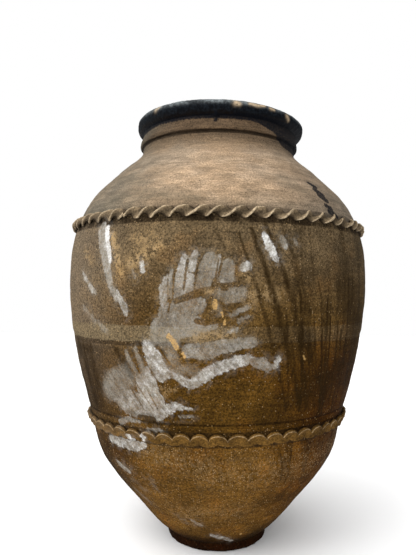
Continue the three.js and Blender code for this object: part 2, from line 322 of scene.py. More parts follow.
# Places inside the lime where bare clay shows again.
bareStrokes = [
    [(-16, 0.56, 0.001), (-16, 0.603, 0.0015)],
    [(-14.5, 0.564, 0.0015), (-14, 0.616, 0.002)],
    [(-16, 0.542, 0.002), (-15, 0.564, 0.002)],
    [(-11, 0.583, 0.002), (-10, 0.638, 0.003)],
    [(-7.5, 0.605, 0.002), (-6.5, 0.644, 0.003)],
    [(-1.5, 0.598, 0.002), (-0.5, 0.642, 0.002)],
    [(-13.5, 0.562, 0.0055), (-9, 0.572, 0.0075), (-4.5, 0.581, 0.0075), (-2.5, 0.585, 0.0055)],
    [(-1, 0.594, 0.002), (7.5, 0.597, 0.0025)],
    [(1, 0.587, 0.0055), (2, 0.585, 0.004)],
    [(-2.5, 0.57, 0.0025), (-4, 0.546, 0.004), (-5, 0.528, 0.0055)],
    [(-7, 0.526, 0.0055), (-4.5, 0.522, 0.0055), (2.5, 0.53, 0.005)],
    [(3, 0.554, 0.0055), (6.5, 0.556, 0.005)],
    [(-19, 0.392, 0.0105), (-16.5, 0.405, 0.0115), (-16, 0.387, 0.0135)],
    [(-23, 0.426, 0.0015), (-20, 0.404, 0.0015)],
    [(-32, 0.39, 0.0015), (-28.5, 0.359, 0.0015)],
    [(-29, 0.398, 0.0015), (-24, 0.354, 0.0015)],
    [(-25.5, 0.393, 0.0015), (-22, 0.355, 0.0015)],
    [(-25.5, 0.452, 0.0015), (-22.5, 0.426, 0.0015)],
    [(-16, 0.444, 0.002), (-19, 0.47, 0.003)],
    [(-30, 0.332, 0.0075), (-24.5, 0.331, 0.0075)],
]

chipStrokes = [
    [(-1.5, 0.563, 0.004), (-1.5, 0.552, 0.005)],
    [(0.5, 0.543, 0.002), (1, 0.535, 0.002)],
    [(1.5, 0.526, 0.0025), (1.5, 0.521, 0.003)],
    [(-16, 0.497, 0.005), (-14.5, 0.487, 0.0055), (-13.5, 0.475, 0.005)],
    [(-11.5, 0.465, 0.003), (-11, 0.458, 0.003)],
    [(29, 0.458, 0.0015), (30, 0.45, 0.002)],
    [(18.5, 0.056, 0.002), (19.5, 0.052, 0.003)],
    [(140, 0.58, 0.003), (141, 0.57, 0.004)],
    [(-112, 0.41, 0.003), (-110, 0.4, 0.003)],
]

# Short strokes of tar on the shoulder, and tar that ran from the rim onto the collar.
paintStrokes = [
    [(39.2, 0.812, 0.006), (41.6, 0.805, 0.006)],
    [(39.9, 0.797, 0.007), (42.9, 0.787, 0.008)],
    [(40.8, 0.784, 0.008), (43.8, 0.775, 0.007)],
    [(41.8, 0.763, 0.0055), (44.4, 0.758, 0.006)],
    [(42.8, 0.75, 0.007), (46, 0.743, 0.0075)],
    [(-3.6, 0.968, 0.004), (-3.6, 0.955, 0.0045)],
    [(8, 0.967, 0.003), (26, 0.963, 0.008), (40, 0.955, 0.016), (52, 0.945, 0.028), (88, 0.945, 0.034)],
    [(88, 0.945, 0.03), (110, 0.955, 0.014), (125, 0.963, 0.003)],
    [(-40, 0.966, 0.002), (-60, 0.962, 0.006), (-80, 0.96, 0.007), (-100, 0.964, 0.004)],
    [(-160, 0.965, 0.003), (180, 0.96, 0.006), (165, 0.965, 0.003)],
]

# Rubbed places where pale and orange grit shows.
rubStains = [
    (0.9, [(-38, 0.692, 0.0095), (-35, 0.651, 0.0115), (-33, 0.611, 0.0095)]),
    (0.9, [(-29, 0.636, 0.015), (-24, 0.651, 0.015), (-19, 0.665, 0.0135)]),
    (0.6, [(-28, 0.679, 0.015), (-22.5, 0.677, 0.015)]),
    (0.5, [(-53, 0.663, 0.0095), (-47.5, 0.64, 0.0095)]),
    (0.7, [(-7, 0.498, 0.0115), (-1.5, 0.498, 0.0115), (3.5, 0.499, 0.0095)]),
    (0.8, [(-4, 0.581, 0.0055), (-2.5, 0.581, 0.0055)]),
    (0.6, [(8.5, 0.565, 0.015), (13, 0.58, 0.015), (17, 0.573, 0.015)]),
    (0.5, [(7.5, 0.611, 0.0115), (11, 0.6, 0.0115)]),
    (0.5, [(-24, 0.38, 0.019), (-14.5, 0.396, 0.004)]),
    (0.9, [(8.5, 0.99, 0.007), (10, 0.988, 0.005)]),
    (0.8, [(17, 0.992, 0.004), (22, 0.99, 0.004), (27, 0.993, 0.003)]),
    (0.7, [(31, 0.99, 0.004), (34, 0.989, 0.003)]),
    (0.6, [(46, 0.986, 0.006), (48, 0.978, 0.004)]),
    (0.5, [(-47, 0.99, 0.006), (-44, 0.994, 0.004)]),
    (0.6, [(120, 0.992, 0.006), (128, 0.99, 0.004)]),
    (0.6, [(-150, 0.992, 0.006), (-144, 0.99, 0.004)]),
    (0.7, [(-27, 0.26, 0.03), (-5, 0.24, 0.03)]),
    (0.6, [(-20, 0.12, 0.03), (10, 0.13, 0.03)]),
    (0.7, [(120, 0.63, 0.03), (150, 0.65, 0.03)]),
    (0.6, [(-150, 0.66, 0.03), (-120, 0.6, 0.03)]),
    (0.6, [(170, 0.25, 0.04), (-150, 0.2, 0.04)]),
]

# Dark stains on the belly and the cone.
darkStains = [
    (0.85, [(-57.5, 0.462, 0.014), (-58, 0.411, 0.022), (-57, 0.346, 0.022)]),
    (0.8, [(-64, 0.46, 0.03), (-52, 0.462, 0.016)]),
    (0.65, [(-52, 0.44, 0.02), (-51, 0.39, 0.02), (-53, 0.34, 0.02)]),
    (0.6, [(-70, 0.4, 0.03), (-68, 0.33, 0.03)]),
    (0.75, [(-36.5, 0.466, 0.008), (-33.5, 0.441, 0.012), (-31, 0.413, 0.007)]),
    (0.6, [(-24, 0.335, 0.012), (-34, 0.34, 0.006)]),
    (0.75, [
        (9.5, 0.7, 0.005), (14, 0.62, 0.007), (18.5, 0.54, 0.009), (24, 0.45, 0.009),
        (31, 0.35, 0.008),
    ]),
    (0.7, [
        (14, 0.71, 0.005), (19, 0.63, 0.007), (24, 0.55, 0.009), (29, 0.45, 0.009),
        (34.5, 0.35, 0.007),
    ]),
    (0.5, [(20, 0.7, 0.007), (25, 0.62, 0.007), (30, 0.54, 0.007)]),
    (0.45, [(-2, 0.7, 0.005), (2, 0.65, 0.004)]),
    (0.6, [
        (5.5, 0.69, 0.003), (10, 0.61, 0.005), (14.5, 0.53, 0.006), (20, 0.43, 0.005),
        (25, 0.35, 0.004),
    ]),
    (0.55, [(22.5, 0.64, 0.004), (28, 0.55, 0.006), (33, 0.45, 0.005), (38, 0.35, 0.004)]),
    (0.5, [(33, 0.6, 0.004), (38, 0.5, 0.006), (43, 0.38, 0.005)]),
    (0.55, [(30, 0.38, 0.03), (42, 0.4, 0.05), (58, 0.4, 0.06)]),
    (0.5, [(48, 0.6, 0.05), (60, 0.52, 0.07), (64, 0.42, 0.06)]),
    (0.45, [(24.5, 0.27, 0.004), (26.5, 0.235, 0.005), (28, 0.2, 0.004)]),
    (0.5, [(30, 0.27, 0.004), (31, 0.22, 0.005), (31, 0.19, 0.003)]),
    (0.6, [(30, 0.04, 0.03), (52, 0.05, 0.04), (70, 0.06, 0.03)]),
    (0.5, [(-5, 0.03, 0.012), (15, 0.03, 0.012), (40, 0.03, 0.02)]),
    (0.6, [(-70, 0.24, 0.02), (-62, 0.2, 0.02), (-60, 0.15, 0.02)]),
    (0.6, [(118, 0.7, 0.008), (121, 0.6, 0.01), (126, 0.45, 0.01), (130, 0.34, 0.008)]),
    (0.6, [(-140, 0.7, 0.01), (-141, 0.58, 0.012), (-146, 0.42, 0.01), (-149, 0.33, 0.008)]),
    (0.5, [(178, 0.5, 0.04), (195, 0.45, 0.05)]),
    (0.5, [(-95, 0.46, 0.04), (-86, 0.4, 0.05)]),
]

# Soot and damp on the shoulder, grey rather than brown.
greyStains = [
    (0.45, [(-52, 0.83, 0.014), (-40, 0.815, 0.02), (-31, 0.8, 0.014)]),
    (0.6, [(-48, 0.768, 0.012), (-34, 0.775, 0.016), (-20, 0.768, 0.013), (-8, 0.762, 0.008)]),
    (0.35, [(24, 0.81, 0.02), (33, 0.79, 0.022)]),
    (0.3, [(-9, 0.86, 0.008), (4, 0.85, 0.01)]),
    (0.35, [(-26, 0.895, 0.008), (-18, 0.885, 0.01)]),
    (0.3, [(-12, 0.904, 0.004), (-6, 0.902, 0.004)]),
    (0.4, [(50, 0.79, 0.02), (66, 0.78, 0.02)]),
    (0.5, [(120, 0.8, 0.015), (140, 0.79, 0.02), (150, 0.8, 0.012)]),
    (0.5, [(-160, 0.85, 0.015), (-140, 0.84, 0.02)]),
    (0.4, [(-105, 0.77, 0.015), (-85, 0.775, 0.018)]),
]


def strokeLengths(angle, climb, radius, start, end):
    # distance on the surface to one straight stretch of a stroke, and the half width where it is nearest
    x = (angle - math.radians(start[0]) + np.pi) % (2 * np.pi) - np.pi
    x = x * radius
    y = climb - climbAt(start[1])
    runX = math.radians(end[0] - start[0]) * radius
    runY = climbAt(end[1]) - climbAt(start[1])
    t = np.clip((x * runX + y * runY) / (runX**2 + runY**2 + 1e-12), 0, 1)
    return np.hypot(x - t * runX, y - t * runY), start[2] + t * (end[2] - start[2])


def insideField(angle, climb, radius, strokes):
    # millimetres inside the nearest stroke's edge, and negative outside
    field = np.full(len(angle), -30.0)
    for stroke in strokes:
        for start, end in zip(stroke, stroke[1:]):
            distance, half = strokeLengths(angle, climb, radius, start, end)
            field = np.maximum(field, (half - distance) * 1000)
    return field


def strengthField(angle, climb, radius, strokes):
    # how strong the strokes are that cover a place, the deepest counting most
    total = np.zeros(len(angle))
    weights = np.full(len(angle), 1e-9)
    for strength, stroke in strokes:
        inside = insideField(angle, climb, radius, [stroke])
        weight = np.exp(np.clip(inside, -25, 8) / 1.8)
        total += weight * strength
        weights += weight
    return total / weights


def softField(angle, climb, radius, stains):
    field = np.zeros(len(angle))
    for strength, stroke in stains:
        for start, end in zip(stroke, stroke[1:]):
            distance, half = strokeLengths(angle, climb, radius, start, end)
            field = np.maximum(field, strength * np.exp(-((distance / half) ** 2)))
    return field


def runDown(seed, count, fromAngle, toAngle):
    # thin stains where water ran down the belly, leaning the way that the jar was held
    chance = np.random.default_rng(seed)
    runs = []
    for k in range(count):
        angle = fromAngle + (toAngle - fromAngle) * (k + chance.uniform(0, 0.8)) / count
        top = chance.uniform(0.46, 0.62)
        foot = chance.uniform(0.31, 0.36)
        lean = chance.uniform(4, 8)
        width = chance.uniform(0.0028, 0.0065)
        strength = chance.uniform(0.55, 0.95)
        middle = (angle + lean * 0.45, (top + foot) / 2, width)
        stretch = [(angle, top, width * 0.6), middle, (angle + lean, foot, width * 0.7)]
        runs.append((strength, stretch))
    return runs


darkStains = darkStains + runDown(4, 15, 19, 62) + runDown(9, 9, 100, 170) + runDown(12, 7, -170, -110)
print("marks listed:", len(limeStrokes), "lime,", len(darkStains), "dark")


gridValues = {
    "around": 720,
    "crowdFront": 0.3,
    "innerSpacing": 0.018,
    "lip": 0.001,
}


def rowsBetween(low, high, spacing, radiusAt):
    fine = np.linspace(low, high, 300)
    length = np.concatenate([[0], np.cumsum(np.hypot(np.diff(fine), np.diff(radiusAt(fine))))])
    count = max(2, int(round(length[-1] / spacing)))
    return np.interp(np.linspace(0, length[-1], count + 1), length, fine)


def turnedPiece(name, outline, material, surface):
    # outline: rows of [radius, height, skin], up the outside and down the inside
    # skin is 1 on the weathered outside and 0 in the joints and the inside
    outline = np.array(outline, float)
    around = gridValues["around"]
    steps = np.arange(around) * 2 * np.pi / around
    angles = steps - gridValues["crowdFront"] * np.sin(steps)
    openEnds = outline[0, 0] < 1e-6
    ring = outline[1:-1] if openEnds else outline
    rows = len(ring)
    angle = np.tile(angles, rows)
    radius = np.repeat(ring[:, 0], around)
    height = np.repeat(ring[:, 1], around)
    skin = np.repeat(ring[:, 2], around)
    tangent = np.gradient(ring[:, :2], axis=0)
    outer = np.flatnonzero(ring[:, 2] > 0.5)
    tangent[outer] = np.gradient(ring[outer, :2], axis=0)
    tangent /= np.maximum(np.linalg.norm(tangent, axis=1), 1e-9)[:, None]
    push = surface(angle, height) * skin
    radius = radius + push * np.repeat(tangent[:, 1], around)
    height = height - push * np.repeat(tangent[:, 0], around)
    points = handShaped(angle, radius, height)
    index = np.arange(rows * around).reshape(rows, around)
    nextIndex = np.roll(index, -1, axis=1)
    if openEnds:
        low, high = index[:-1], index[1:]
        lowNext, highNext = nextIndex[:-1], nextIndex[1:]
    else:
        low, high = index, np.roll(index, -1, axis=0)
        lowNext, highNext = nextIndex, np.roll(nextIndex, -1, axis=0)
    quads = np.stack([low, lowNext, highNext, high], -1).reshape(-1, 4)
    faces = quads.tolist()
    if openEnds:
        poles = np.array([(0, 0, outline[0, 1]), (0, 0, outline[-1, 1])])
        first = len(points)
        points = np.concatenate([points, poles])
        faces += [[first, int(b), int(a)] for a, b in zip(index[0], nextIndex[0])]
        faces += [[first + 1, int(a), int(b)] for a, b in zip(index[-1], nextIndex[-1])]
        angle = np.append(angle, [0, 0])
        radius = np.append(radius, [0.001, 0.001])
        height = np.append(height, outline[[0, -1], 1])
        skin = np.append(skin, [0, 0])
    mesh = bpy.data.meshes.new(name)
    mesh.from_pydata(points.tolist(), [], faces)
    mesh.polygons.foreach_set("use_smooth", [True] * len(mesh.polygons))
    markSharp(mesh, skin)
    piece = bpy.data.objects.new(name, mesh)
    bpy.context.scene.collection.objects.link(piece)
    mesh.materials.append(material)
    addMarks(mesh, angle, radius, height, skin)
    return piece


def markSharp(mesh, skin):
    # keeps the weathered outside from being shaded together with the edge that turns into the joint
    edges = np.empty(len(mesh.edges) * 2, int)
    mesh.edges.foreach_get("vertices", edges)
    edges = edges.reshape(-1, 2)
    polygons = np.empty(len(mesh.loops), int)
    mesh.loops.foreach_get("edge_index", polygons)
    skinned = skin[edges] > 0.5
    outside = skinned.all(axis=1)
    touching = np.zeros(len(skin), bool)
    mixed = skinned.any(axis=1) & ~outside
    touching[edges[mixed].ravel()] = True
    sharp = outside & touching[edges].all(axis=1)
    attribute = mesh.attributes.new("sharp_edge", "BOOLEAN", "EDGE")
    attribute.data.foreach_set("value", sharp)


def addMarks(mesh, angle, radius, height, skin):
    climb = climbAt(height)
    fields = {
        "lime": insideField(angle, climb, radius, [stroke for _, stroke in limeStrokes]),
        "limeBody": strengthField(angle, climb, radius, limeStrokes),
        "bare": insideField(angle, climb, radius, bareStrokes),
        "chip": insideField(angle, climb, radius, chipStrokes),
        "paint": insideField(angle, climb, radius, paintStrokes),
        "dark": softField(angle, climb, radius, darkStains),
        "grey": softField(angle, climb, radius, greyStains),
        "rub": softField(angle, climb, radius, rubStains),
        "level": height,
        "skin": skin,
    }
    for name, values in fields.items():
        attribute = mesh.attributes.new(name, "FLOAT", "POINT")
        attribute.data.foreach_set("value", values.astype(np.float32))


def wallOutline(lowJoint, highJoint, spacing):
    lip = gridValues["lip"]
    outer = rowsBetween(lowJoint, highJoint, spacing, wallRadius)
    innerSpacing = gridValues["innerSpacing"]
    inner = rowsBetween(lowJoint + jointRise, highJoint + jointRise, innerSpacing, boreRadius)
    outside = [(wallRadius(z), z, 1) for z in outer]
    inside = [(boreRadius(z), z, 0) for z in inner[::-1]]
    top = [
        (wallRadius(highJoint) - lip, highJoint, 0),
        (wallRadius(highJoint) - lip, highJoint - halfSeam, 0),
        (inside[0][0] + lip, highJoint + jointRise - halfSeam, 0),
        (inside[0][0] + lip, highJoint + jointRise, 0),
    ]
    bottom = [
        (inside[-1][0] + lip, lowJoint + jointRise, 0),
        (inside[-1][0] + lip, lowJoint + jointRise + halfSeam, 0),
        (wallRadius(lowJoint) - lip, lowJoint + halfSeam, 0),
        (wallRadius(lowJoint) - lip, lowJoint, 0),
    ]
    return outside + top + inside + bottom


# How deep each kind of surface is worked, in metres.
surfaceValues = {
    "lump": 0.0007,
    "pebble": 0.0003,
    "throwingRidge": 0.00028,
    "scrapeRidge": 0.00018,
    "guideLineRise": 0.028,
    "guideLineDepth": 0.0016,
    "guideLineWidth": 0.0022,
    "seamStep": 0.0006,
}


def roughSurface(angle, height):
    values = surfaceValues
    push = values["lump"] * ringNoise(angle, height, 60, 0.03, 1)
    push += values["pebble"] * ringNoise(angle, height, 260, 0.008, 2)
    push += values["scrapeRidge"] * ringNoise(angle, height, 24, 0.006, 3)
    wander = 0.0012 * ringNoise(angle, height * 0, 30, 0.5, 5)
    line = (height - joints["lower"] - values["guideLineRise"] - wander) / values["guideLineWidth"]
    push -= values["guideLineDepth"] * np.exp(-(line**2))
    seam = (height - joints["belly"] - 0.004 + wander) / 0.003
    push += values["seamStep"] * np.tanh(seam) * np.exp(-((height - joints["belly"]) / 0.02) ** 2)
    return push


def smoothSurface(angle, height):
    values = surfaceValues
    push = values["lump"] * 0.8 * ringNoise(angle, height, 36, 0.04, 1)
    push += values["throwingRidge"] * ringNoise(angle, height, 14, 0.0065, 6)
    push += values["scrapeRidge"] * ringNoise(angle, height, 40, 0.0042, 7)
    return push


def blendedSurface(angle, height):
    # the rough belly turns into the smoothed shoulder under the upper rope
    share = np.clip((height - joints["shoulder"]) / 0.01 + 0.5, 0, 1)
    return roughSurface(angle, height) * (1 - share) + smoothSurface(angle, height) * share


# One material, and the few kinds of node that the finishes here are made of.


class Finish:
    def __init__(self, name):
        self.material = bpy.data.materials.new(name)
        self.material.use_nodes = True
        self.tree = self.material.node_tree
        self.shader = self.tree.nodes["Principled BSDF"]
        self.place = self.node("ShaderNodeTexCoord").outputs["Object"]

    def node(self, kind, **settings):
        made = self.tree.nodes.new(kind)
        for key, value in settings.items():
            setattr(made, key, value)
        return made

    def put(self, socket, value):
        if isinstance(value, bpy.types.NodeSocket):
            self.tree.links.new(value, socket)
        elif isinstance(value, (tuple, list)) and len(value) == 3 and socket.type == "RGBA":
            socket.default_value = (*value, 1)
        else:
            socket.default_value = value

    def math(self, operation, a, b=0.0, clamp=False):
        made = self.node("ShaderNodeMath", operation=operation, use_clamp=clamp)
        self.put(made.inputs[0], a)
        self.put(made.inputs[1], b)
        return made.outputs[0]

    def times(self, *factors):
        product = factors[0]
        for factor in factors[1:]:
            product = self.math("MULTIPLY", product, factor)
        return product

    def add(self, *parts):
        total = parts[0]
        for part in parts[1:]:
            total = self.math("ADD", total, part)
        return total

    def rest(self, share):
        return self.math("SUBTRACT", 1.0, share)

    def atMost(self, value, most):
        return self.math("MINIMUM", value, most)

    def centred(self, pattern, size):
        # a pattern from 0 to 1 becomes one round zero, this tall
        return self.times(self.math("SUBTRACT", pattern, 0.5), size)

    def ramp(self, value, low, high, fromValue=0.0, toValue=1.0):
        made = self.node("ShaderNodeMapRange", interpolation_type="SMOOTHSTEP")
        self.put(made.inputs["Value"], value)
        self.put(made.inputs["From Min"], low)
        self.put(made.inputs["From Max"], high)
        self.put(made.inputs["To Min"], fromValue)
        self.put(made.inputs["To Max"], toValue)
        return made.outputs["Result"]

    def band(self, value, low, high, soft):
        rising = self.ramp(value, low - soft, low)
        return self.times(rising, self.ramp(value, high, high + soft, 1.0, 0.0))

    def mix(self, share, a, b, blend="MIX"):
        made = self.node("ShaderNodeMix", data_type="RGBA", blend_type=blend)
        self.put(made.inputs["Factor"], share)
        for socket, value in ((made.inputs[6], a), (made.inputs[7], b)):
            self.put(socket, value)
        return made.outputs[2]

    def shade(self, colour, factor):
        return self.mix(1.0, colour, factor, "MULTIPLY")

    def between(self, share, first, second):
        return self.mix(share, clayValues[first], clayValues[second])

    def laid(self, colour, share, over):
        # lays a clay colour, by name, or another mixed colour over part of this one
        return self.mix(share, colour, clayValues[over] if isinstance(over, str) else over)

    def tinted(self, colour, share, tint):
        return self.mix(share, colour, self.shade(colour, tint))

    def varied(self, colour, pattern, spread, darkest, palest):
        # shades a colour by a pattern that mostly lies within this spread of its middle
        return self.shade(colour, self.ramp(pattern, 0.5 - spread, 0.5 + spread, darkest, palest))

    def stretched(self, scale, turn=(0, 0, 0)):
        turned = self.node("ShaderNodeMapping")
        self.put(turned.inputs["Vector"], self.place)
        turned.inputs["Rotation"].default_value = turn
        made = self.node("ShaderNodeMapping")
        self.put(made.inputs["Vector"], turned.outputs["Vector"])
        made.inputs["Scale"].default_value = scale
        return made.outputs["Vector"]

    def noise(self, scale, detail=2.0, rough=0.5, place=None, distortion=0.0):
        made = self.node("ShaderNodeTexNoise")
        self.put(made.inputs["Vector"], place or self.place)
        made.inputs["Scale"].default_value = scale
        made.inputs["Detail"].default_value = detail
        made.inputs["Roughness"].default_value = rough
        made.inputs["Distortion"].default_value = distortion
        return made.outputs["Fac"]

    def grains(self, scale):
        # round grains: how much of one lies here, and two chances that are the same all over a grain
        made = self.node("ShaderNodeTexVoronoi")
        self.put(made.inputs["Vector"], self.place)
        made.inputs["Scale"].default_value = scale
        split = self.node("ShaderNodeSeparateColor")
        self.put(split.inputs[0], made.outputs["Color"])
        here = self.ramp(made.outputs["Distance"], 0.16, 0.38, 1.0, 0.0)
        return here, split.outputs["Red"], split.outputs["Green"]

    def field(self, name):
        return self.node("ShaderNodeAttribute", attribute_name=name).outputs["Fac"]

    def sideways(self):
        split = self.node("ShaderNodeSeparateXYZ")
        self.put(split.inputs[0], self.place)
        return split.outputs["X"]

    def bump(self, height, distance, strength=1.0, under=None):
        made = self.node("ShaderNodeBump")
        made.inputs["Strength"].default_value = strength
        made.inputs["Distance"].default_value = distance
        self.put(made.inputs["Height"], height)
        if under:
            self.put(made.inputs["Normal"], under)
        return made.outputs["Normal"]

    def finish(self, colour, roughness, normal, specular=0.5):
        self.shader.inputs["Specular IOR Level"].default_value = specular
        self.put(self.shader.inputs["Base Color"], colour)
        self.put(self.shader.inputs["Roughness"], roughness)
        self.put(self.shader.inputs["Normal"], normal)
        return self.material


# Linear colours of the clays and of what lies on them.
clayValues = {
    "bellyTop": (0.09, 0.062, 0.032),
    "bellyMiddle": (0.066, 0.036, 0.009),
    "bellyLow": (0.06, 0.0295, 0.0048),
    "cone": (0.092, 0.0445, 0.008),
    "foot": (0.012, 0.0035, 0.0006),
    "seam": (0.125, 0.093, 0.052),
    "dustAndLeftLight": (0.14, 0.108, 0.075),
    "shoulder": (0.27, 0.2, 0.135),
    "shoulderWarm": (0.29, 0.2, 0.122),
    "shoulderLow": (0.12, 0.09, 0.056),
    "shoulderLeft": (0.048, 0.052, 0.043),
    "shoulderRight": (0.07, 0.064, 0.054),
    "neck": (0.085, 0.057, 0.033),
    "collar": (0.082, 0.053, 0.03),
    "ropeLow": (0.09, 0.049, 0.012),
    "ropeHigh": (0.125, 0.09, 0.053),
    "ropeEdgeLow": (0.3, 0.22, 0.13),
    "ropeEdgeHigh": (0.4, 0.31, 0.2),
    "slipDark": (0.06, 0.035, 0.02),
    "slipPale": (0.11, 0.066, 0.036),
    "grit": (0.32, 0.235, 0.14),
    "ochre": (0.36, 0.22, 0.08),
    # the next colour is for dark pits in the clay, and also serves as painted shade in creases and hollows
    "pit": (0.013, 0.008, 0.004),
    "stain": (0.014, 0.0072, 0.0012),
    "soot": (0.085, 0.074, 0.052),
    "lime": (0.285, 0.265, 0.222),
    "limeBright": (0.62, 0.61, 0.59),
    "chip": (0.46, 0.28, 0.1),
    "tar": (0.0028, 0.0035, 0.0055),
    "tarDeep": (0.0012, 0.0016, 0.0026),
    "tarThin": (0.008, 0.011, 0.0145),
    "tarSheen": (0.185, 0.205, 0.21),
    "tarUnder": (0.006, 0.004, 0.003),
    "tarRubbed": (0.4, 0.3, 0.19),
}

# How the marks lie on the clay, with lengths in millimetres.
markValues = {
    "mostStain": 0.9,
    "limeSpread": 2.2,
    "limeRagged": 8.0,
    "limeDrag": 6.0,
    "limeHaze": 0.1,
    "mostLime": 0.94,
    "fray": 7.0,
}


def stained(finish, colour, broken, fine):
    # dark stains that ran down the wall, and soot
    skin = finish.field("skin")
    dark = finish.field("dark")
    streak = finish.noise(34, 3, 0.55, finish.stretched((3, 3, 0.22)))
    darkShare = finish.times(dark, finish.ramp(streak, 0.3, 0.62, 0.5, 1.05))
    darkShare = finish.times(darkShare, finish.ramp(fine, 0.3, 0.7, 0.7, 1.05), skin)
    wavering = finish.add(dark, finish.centred(broken, 0.5))
    darkShare = finish.times(darkShare, finish.ramp(wavering, 0.22, 0.42, 0.45, 1.35))
    colour = finish.laid(colour, finish.atMost(darkShare, markValues["mostStain"]), "stain")
    smear = finish.noise(20, 4, 0.65, finish.stretched((1, 1, 5)))
    greyShare = finish.times(finish.field("grey"), finish.ramp(smear, 0.3, 0.7, 0.3, 1.0), skin)
    return finish.laid(colour, greyShare, "soot")


def limed(finish, colour, broken, fine):
    # lime wiped on by hand, dragged one way high up and another way low down
    raggedness = markValues["limeRagged"]
    ragged = finish.add(finish.centred(broken, raggedness), finish.centred(fine, raggedness))
    inside = finish.add(finish.field("lime"), finish.add(ragged, markValues["limeSpread"]))
    upHigh = finish.ramp(finish.field("level"), joints["belly"] - 0.02, joints["belly"] + 0.02)
    fingers = finish.noise(60, 3, 0.6, finish.stretched((2.2, 1, 0.25), (0, -0.3, 0)))
    wiped = finish.noise(60, 3, 0.6, finish.stretched((2.6, 1, 0.2), (0, 0.75, 0)))
    dragged = finish.add(finish.times(fingers, upHigh), finish.times(wiped, finish.rest(upHigh)))
    inside = finish.add(inside, finish.centred(dragged, markValues["limeDrag"]))
    body = finish.math("SUBTRACT", finish.times(finish.field("limeBody"), 1.32), 0.24)
    firm = finish.ramp(body, 0.2, 0.48)
    edged = finish.times(finish.ramp(inside, -1.6, 2.4), firm)
    faded = finish.times(finish.ramp(inside, -3.0, 13.0), finish.rest(firm), 1.5)
    pitted = finish.ramp(finish.noise(300, 4, 0.75), 0.34, 0.6, 0.5, 1.12)
    patchy = finish.ramp(finish.noise(48, 4, 0.7), 0.36, 0.62, 0.62, 1.2)
    coat = finish.times(finish.add(edged, faded), body, pitted, patchy)
    coat = finish.times(coat, finish.ramp(dragged, 0.36, 0.64, 0.72, 1.15))
    haze = finish.times(finish.ramp(finish.field("lime"), -20, 3), markValues["limeHaze"])
    haze = finish.times(haze, finish.ramp(broken, 0.42, 0.62, 0.0, 1.4))
    bareInside = finish.add(finish.field("bare"), finish.times(ragged, 0.4))
    covered = finish.math("MAXIMUM", coat, haze)
    covered = finish.times(covered, finish.ramp(bareInside, -0.9, 1.1, 1.0, 0.14), finish.field("skin"))
    covered = finish.atMost(covered, markValues["mostLime"])
    clots = finish.ramp(finish.noise(110, 3, 0.6), 0.4, 0.66, 0.15, 0.8)
    thick = finish.times(clots, finish.ramp(body, 0.35, 0.8, 0.2, 1.0))
    thick = finish.math("ADD", thick, finish.ramp(body, 0.72, 0.92, 0.0, 0.8), True)
    return finish.laid(colour, covered, finish.between(thick, "lime", "limeBright")), covered


def marked(finish, colour, grain):
    # lays the stains, lime, chips and tar over bare clay; returns the colour and where lime lies
    broken = finish.noise(75, 3, 0.6)
    fine = finish.noise(240, 3, 0.65)
    colour = stained(finish, colour, broken, fine)
    colour, covered = limed(finish, colour, broken, fine)
    skin = finish.field("skin")
    frayed = finish.centred(fine, markValues["fray"])
    chipInside = finish.add(finish.field("chip"), frayed)
    speckled = finish.ramp(grain, 0.36, 0.6, 0.3, 0.9)
    colour = finish.laid(colour, finish.times(finish.ramp(chipInside, -1.0, 1.2), speckled, skin), "chip")
    paintInside = finish.add(finish.field("paint"), frayed)
    thinned = finish.ramp(fine, 0.3, 0.6, 0.75, 0.98)
    colour = finish.laid(colour, finish.times(finish.ramp(paintInside, -1.2, 1.4), thinned, skin), "tar")
    return colour, covered


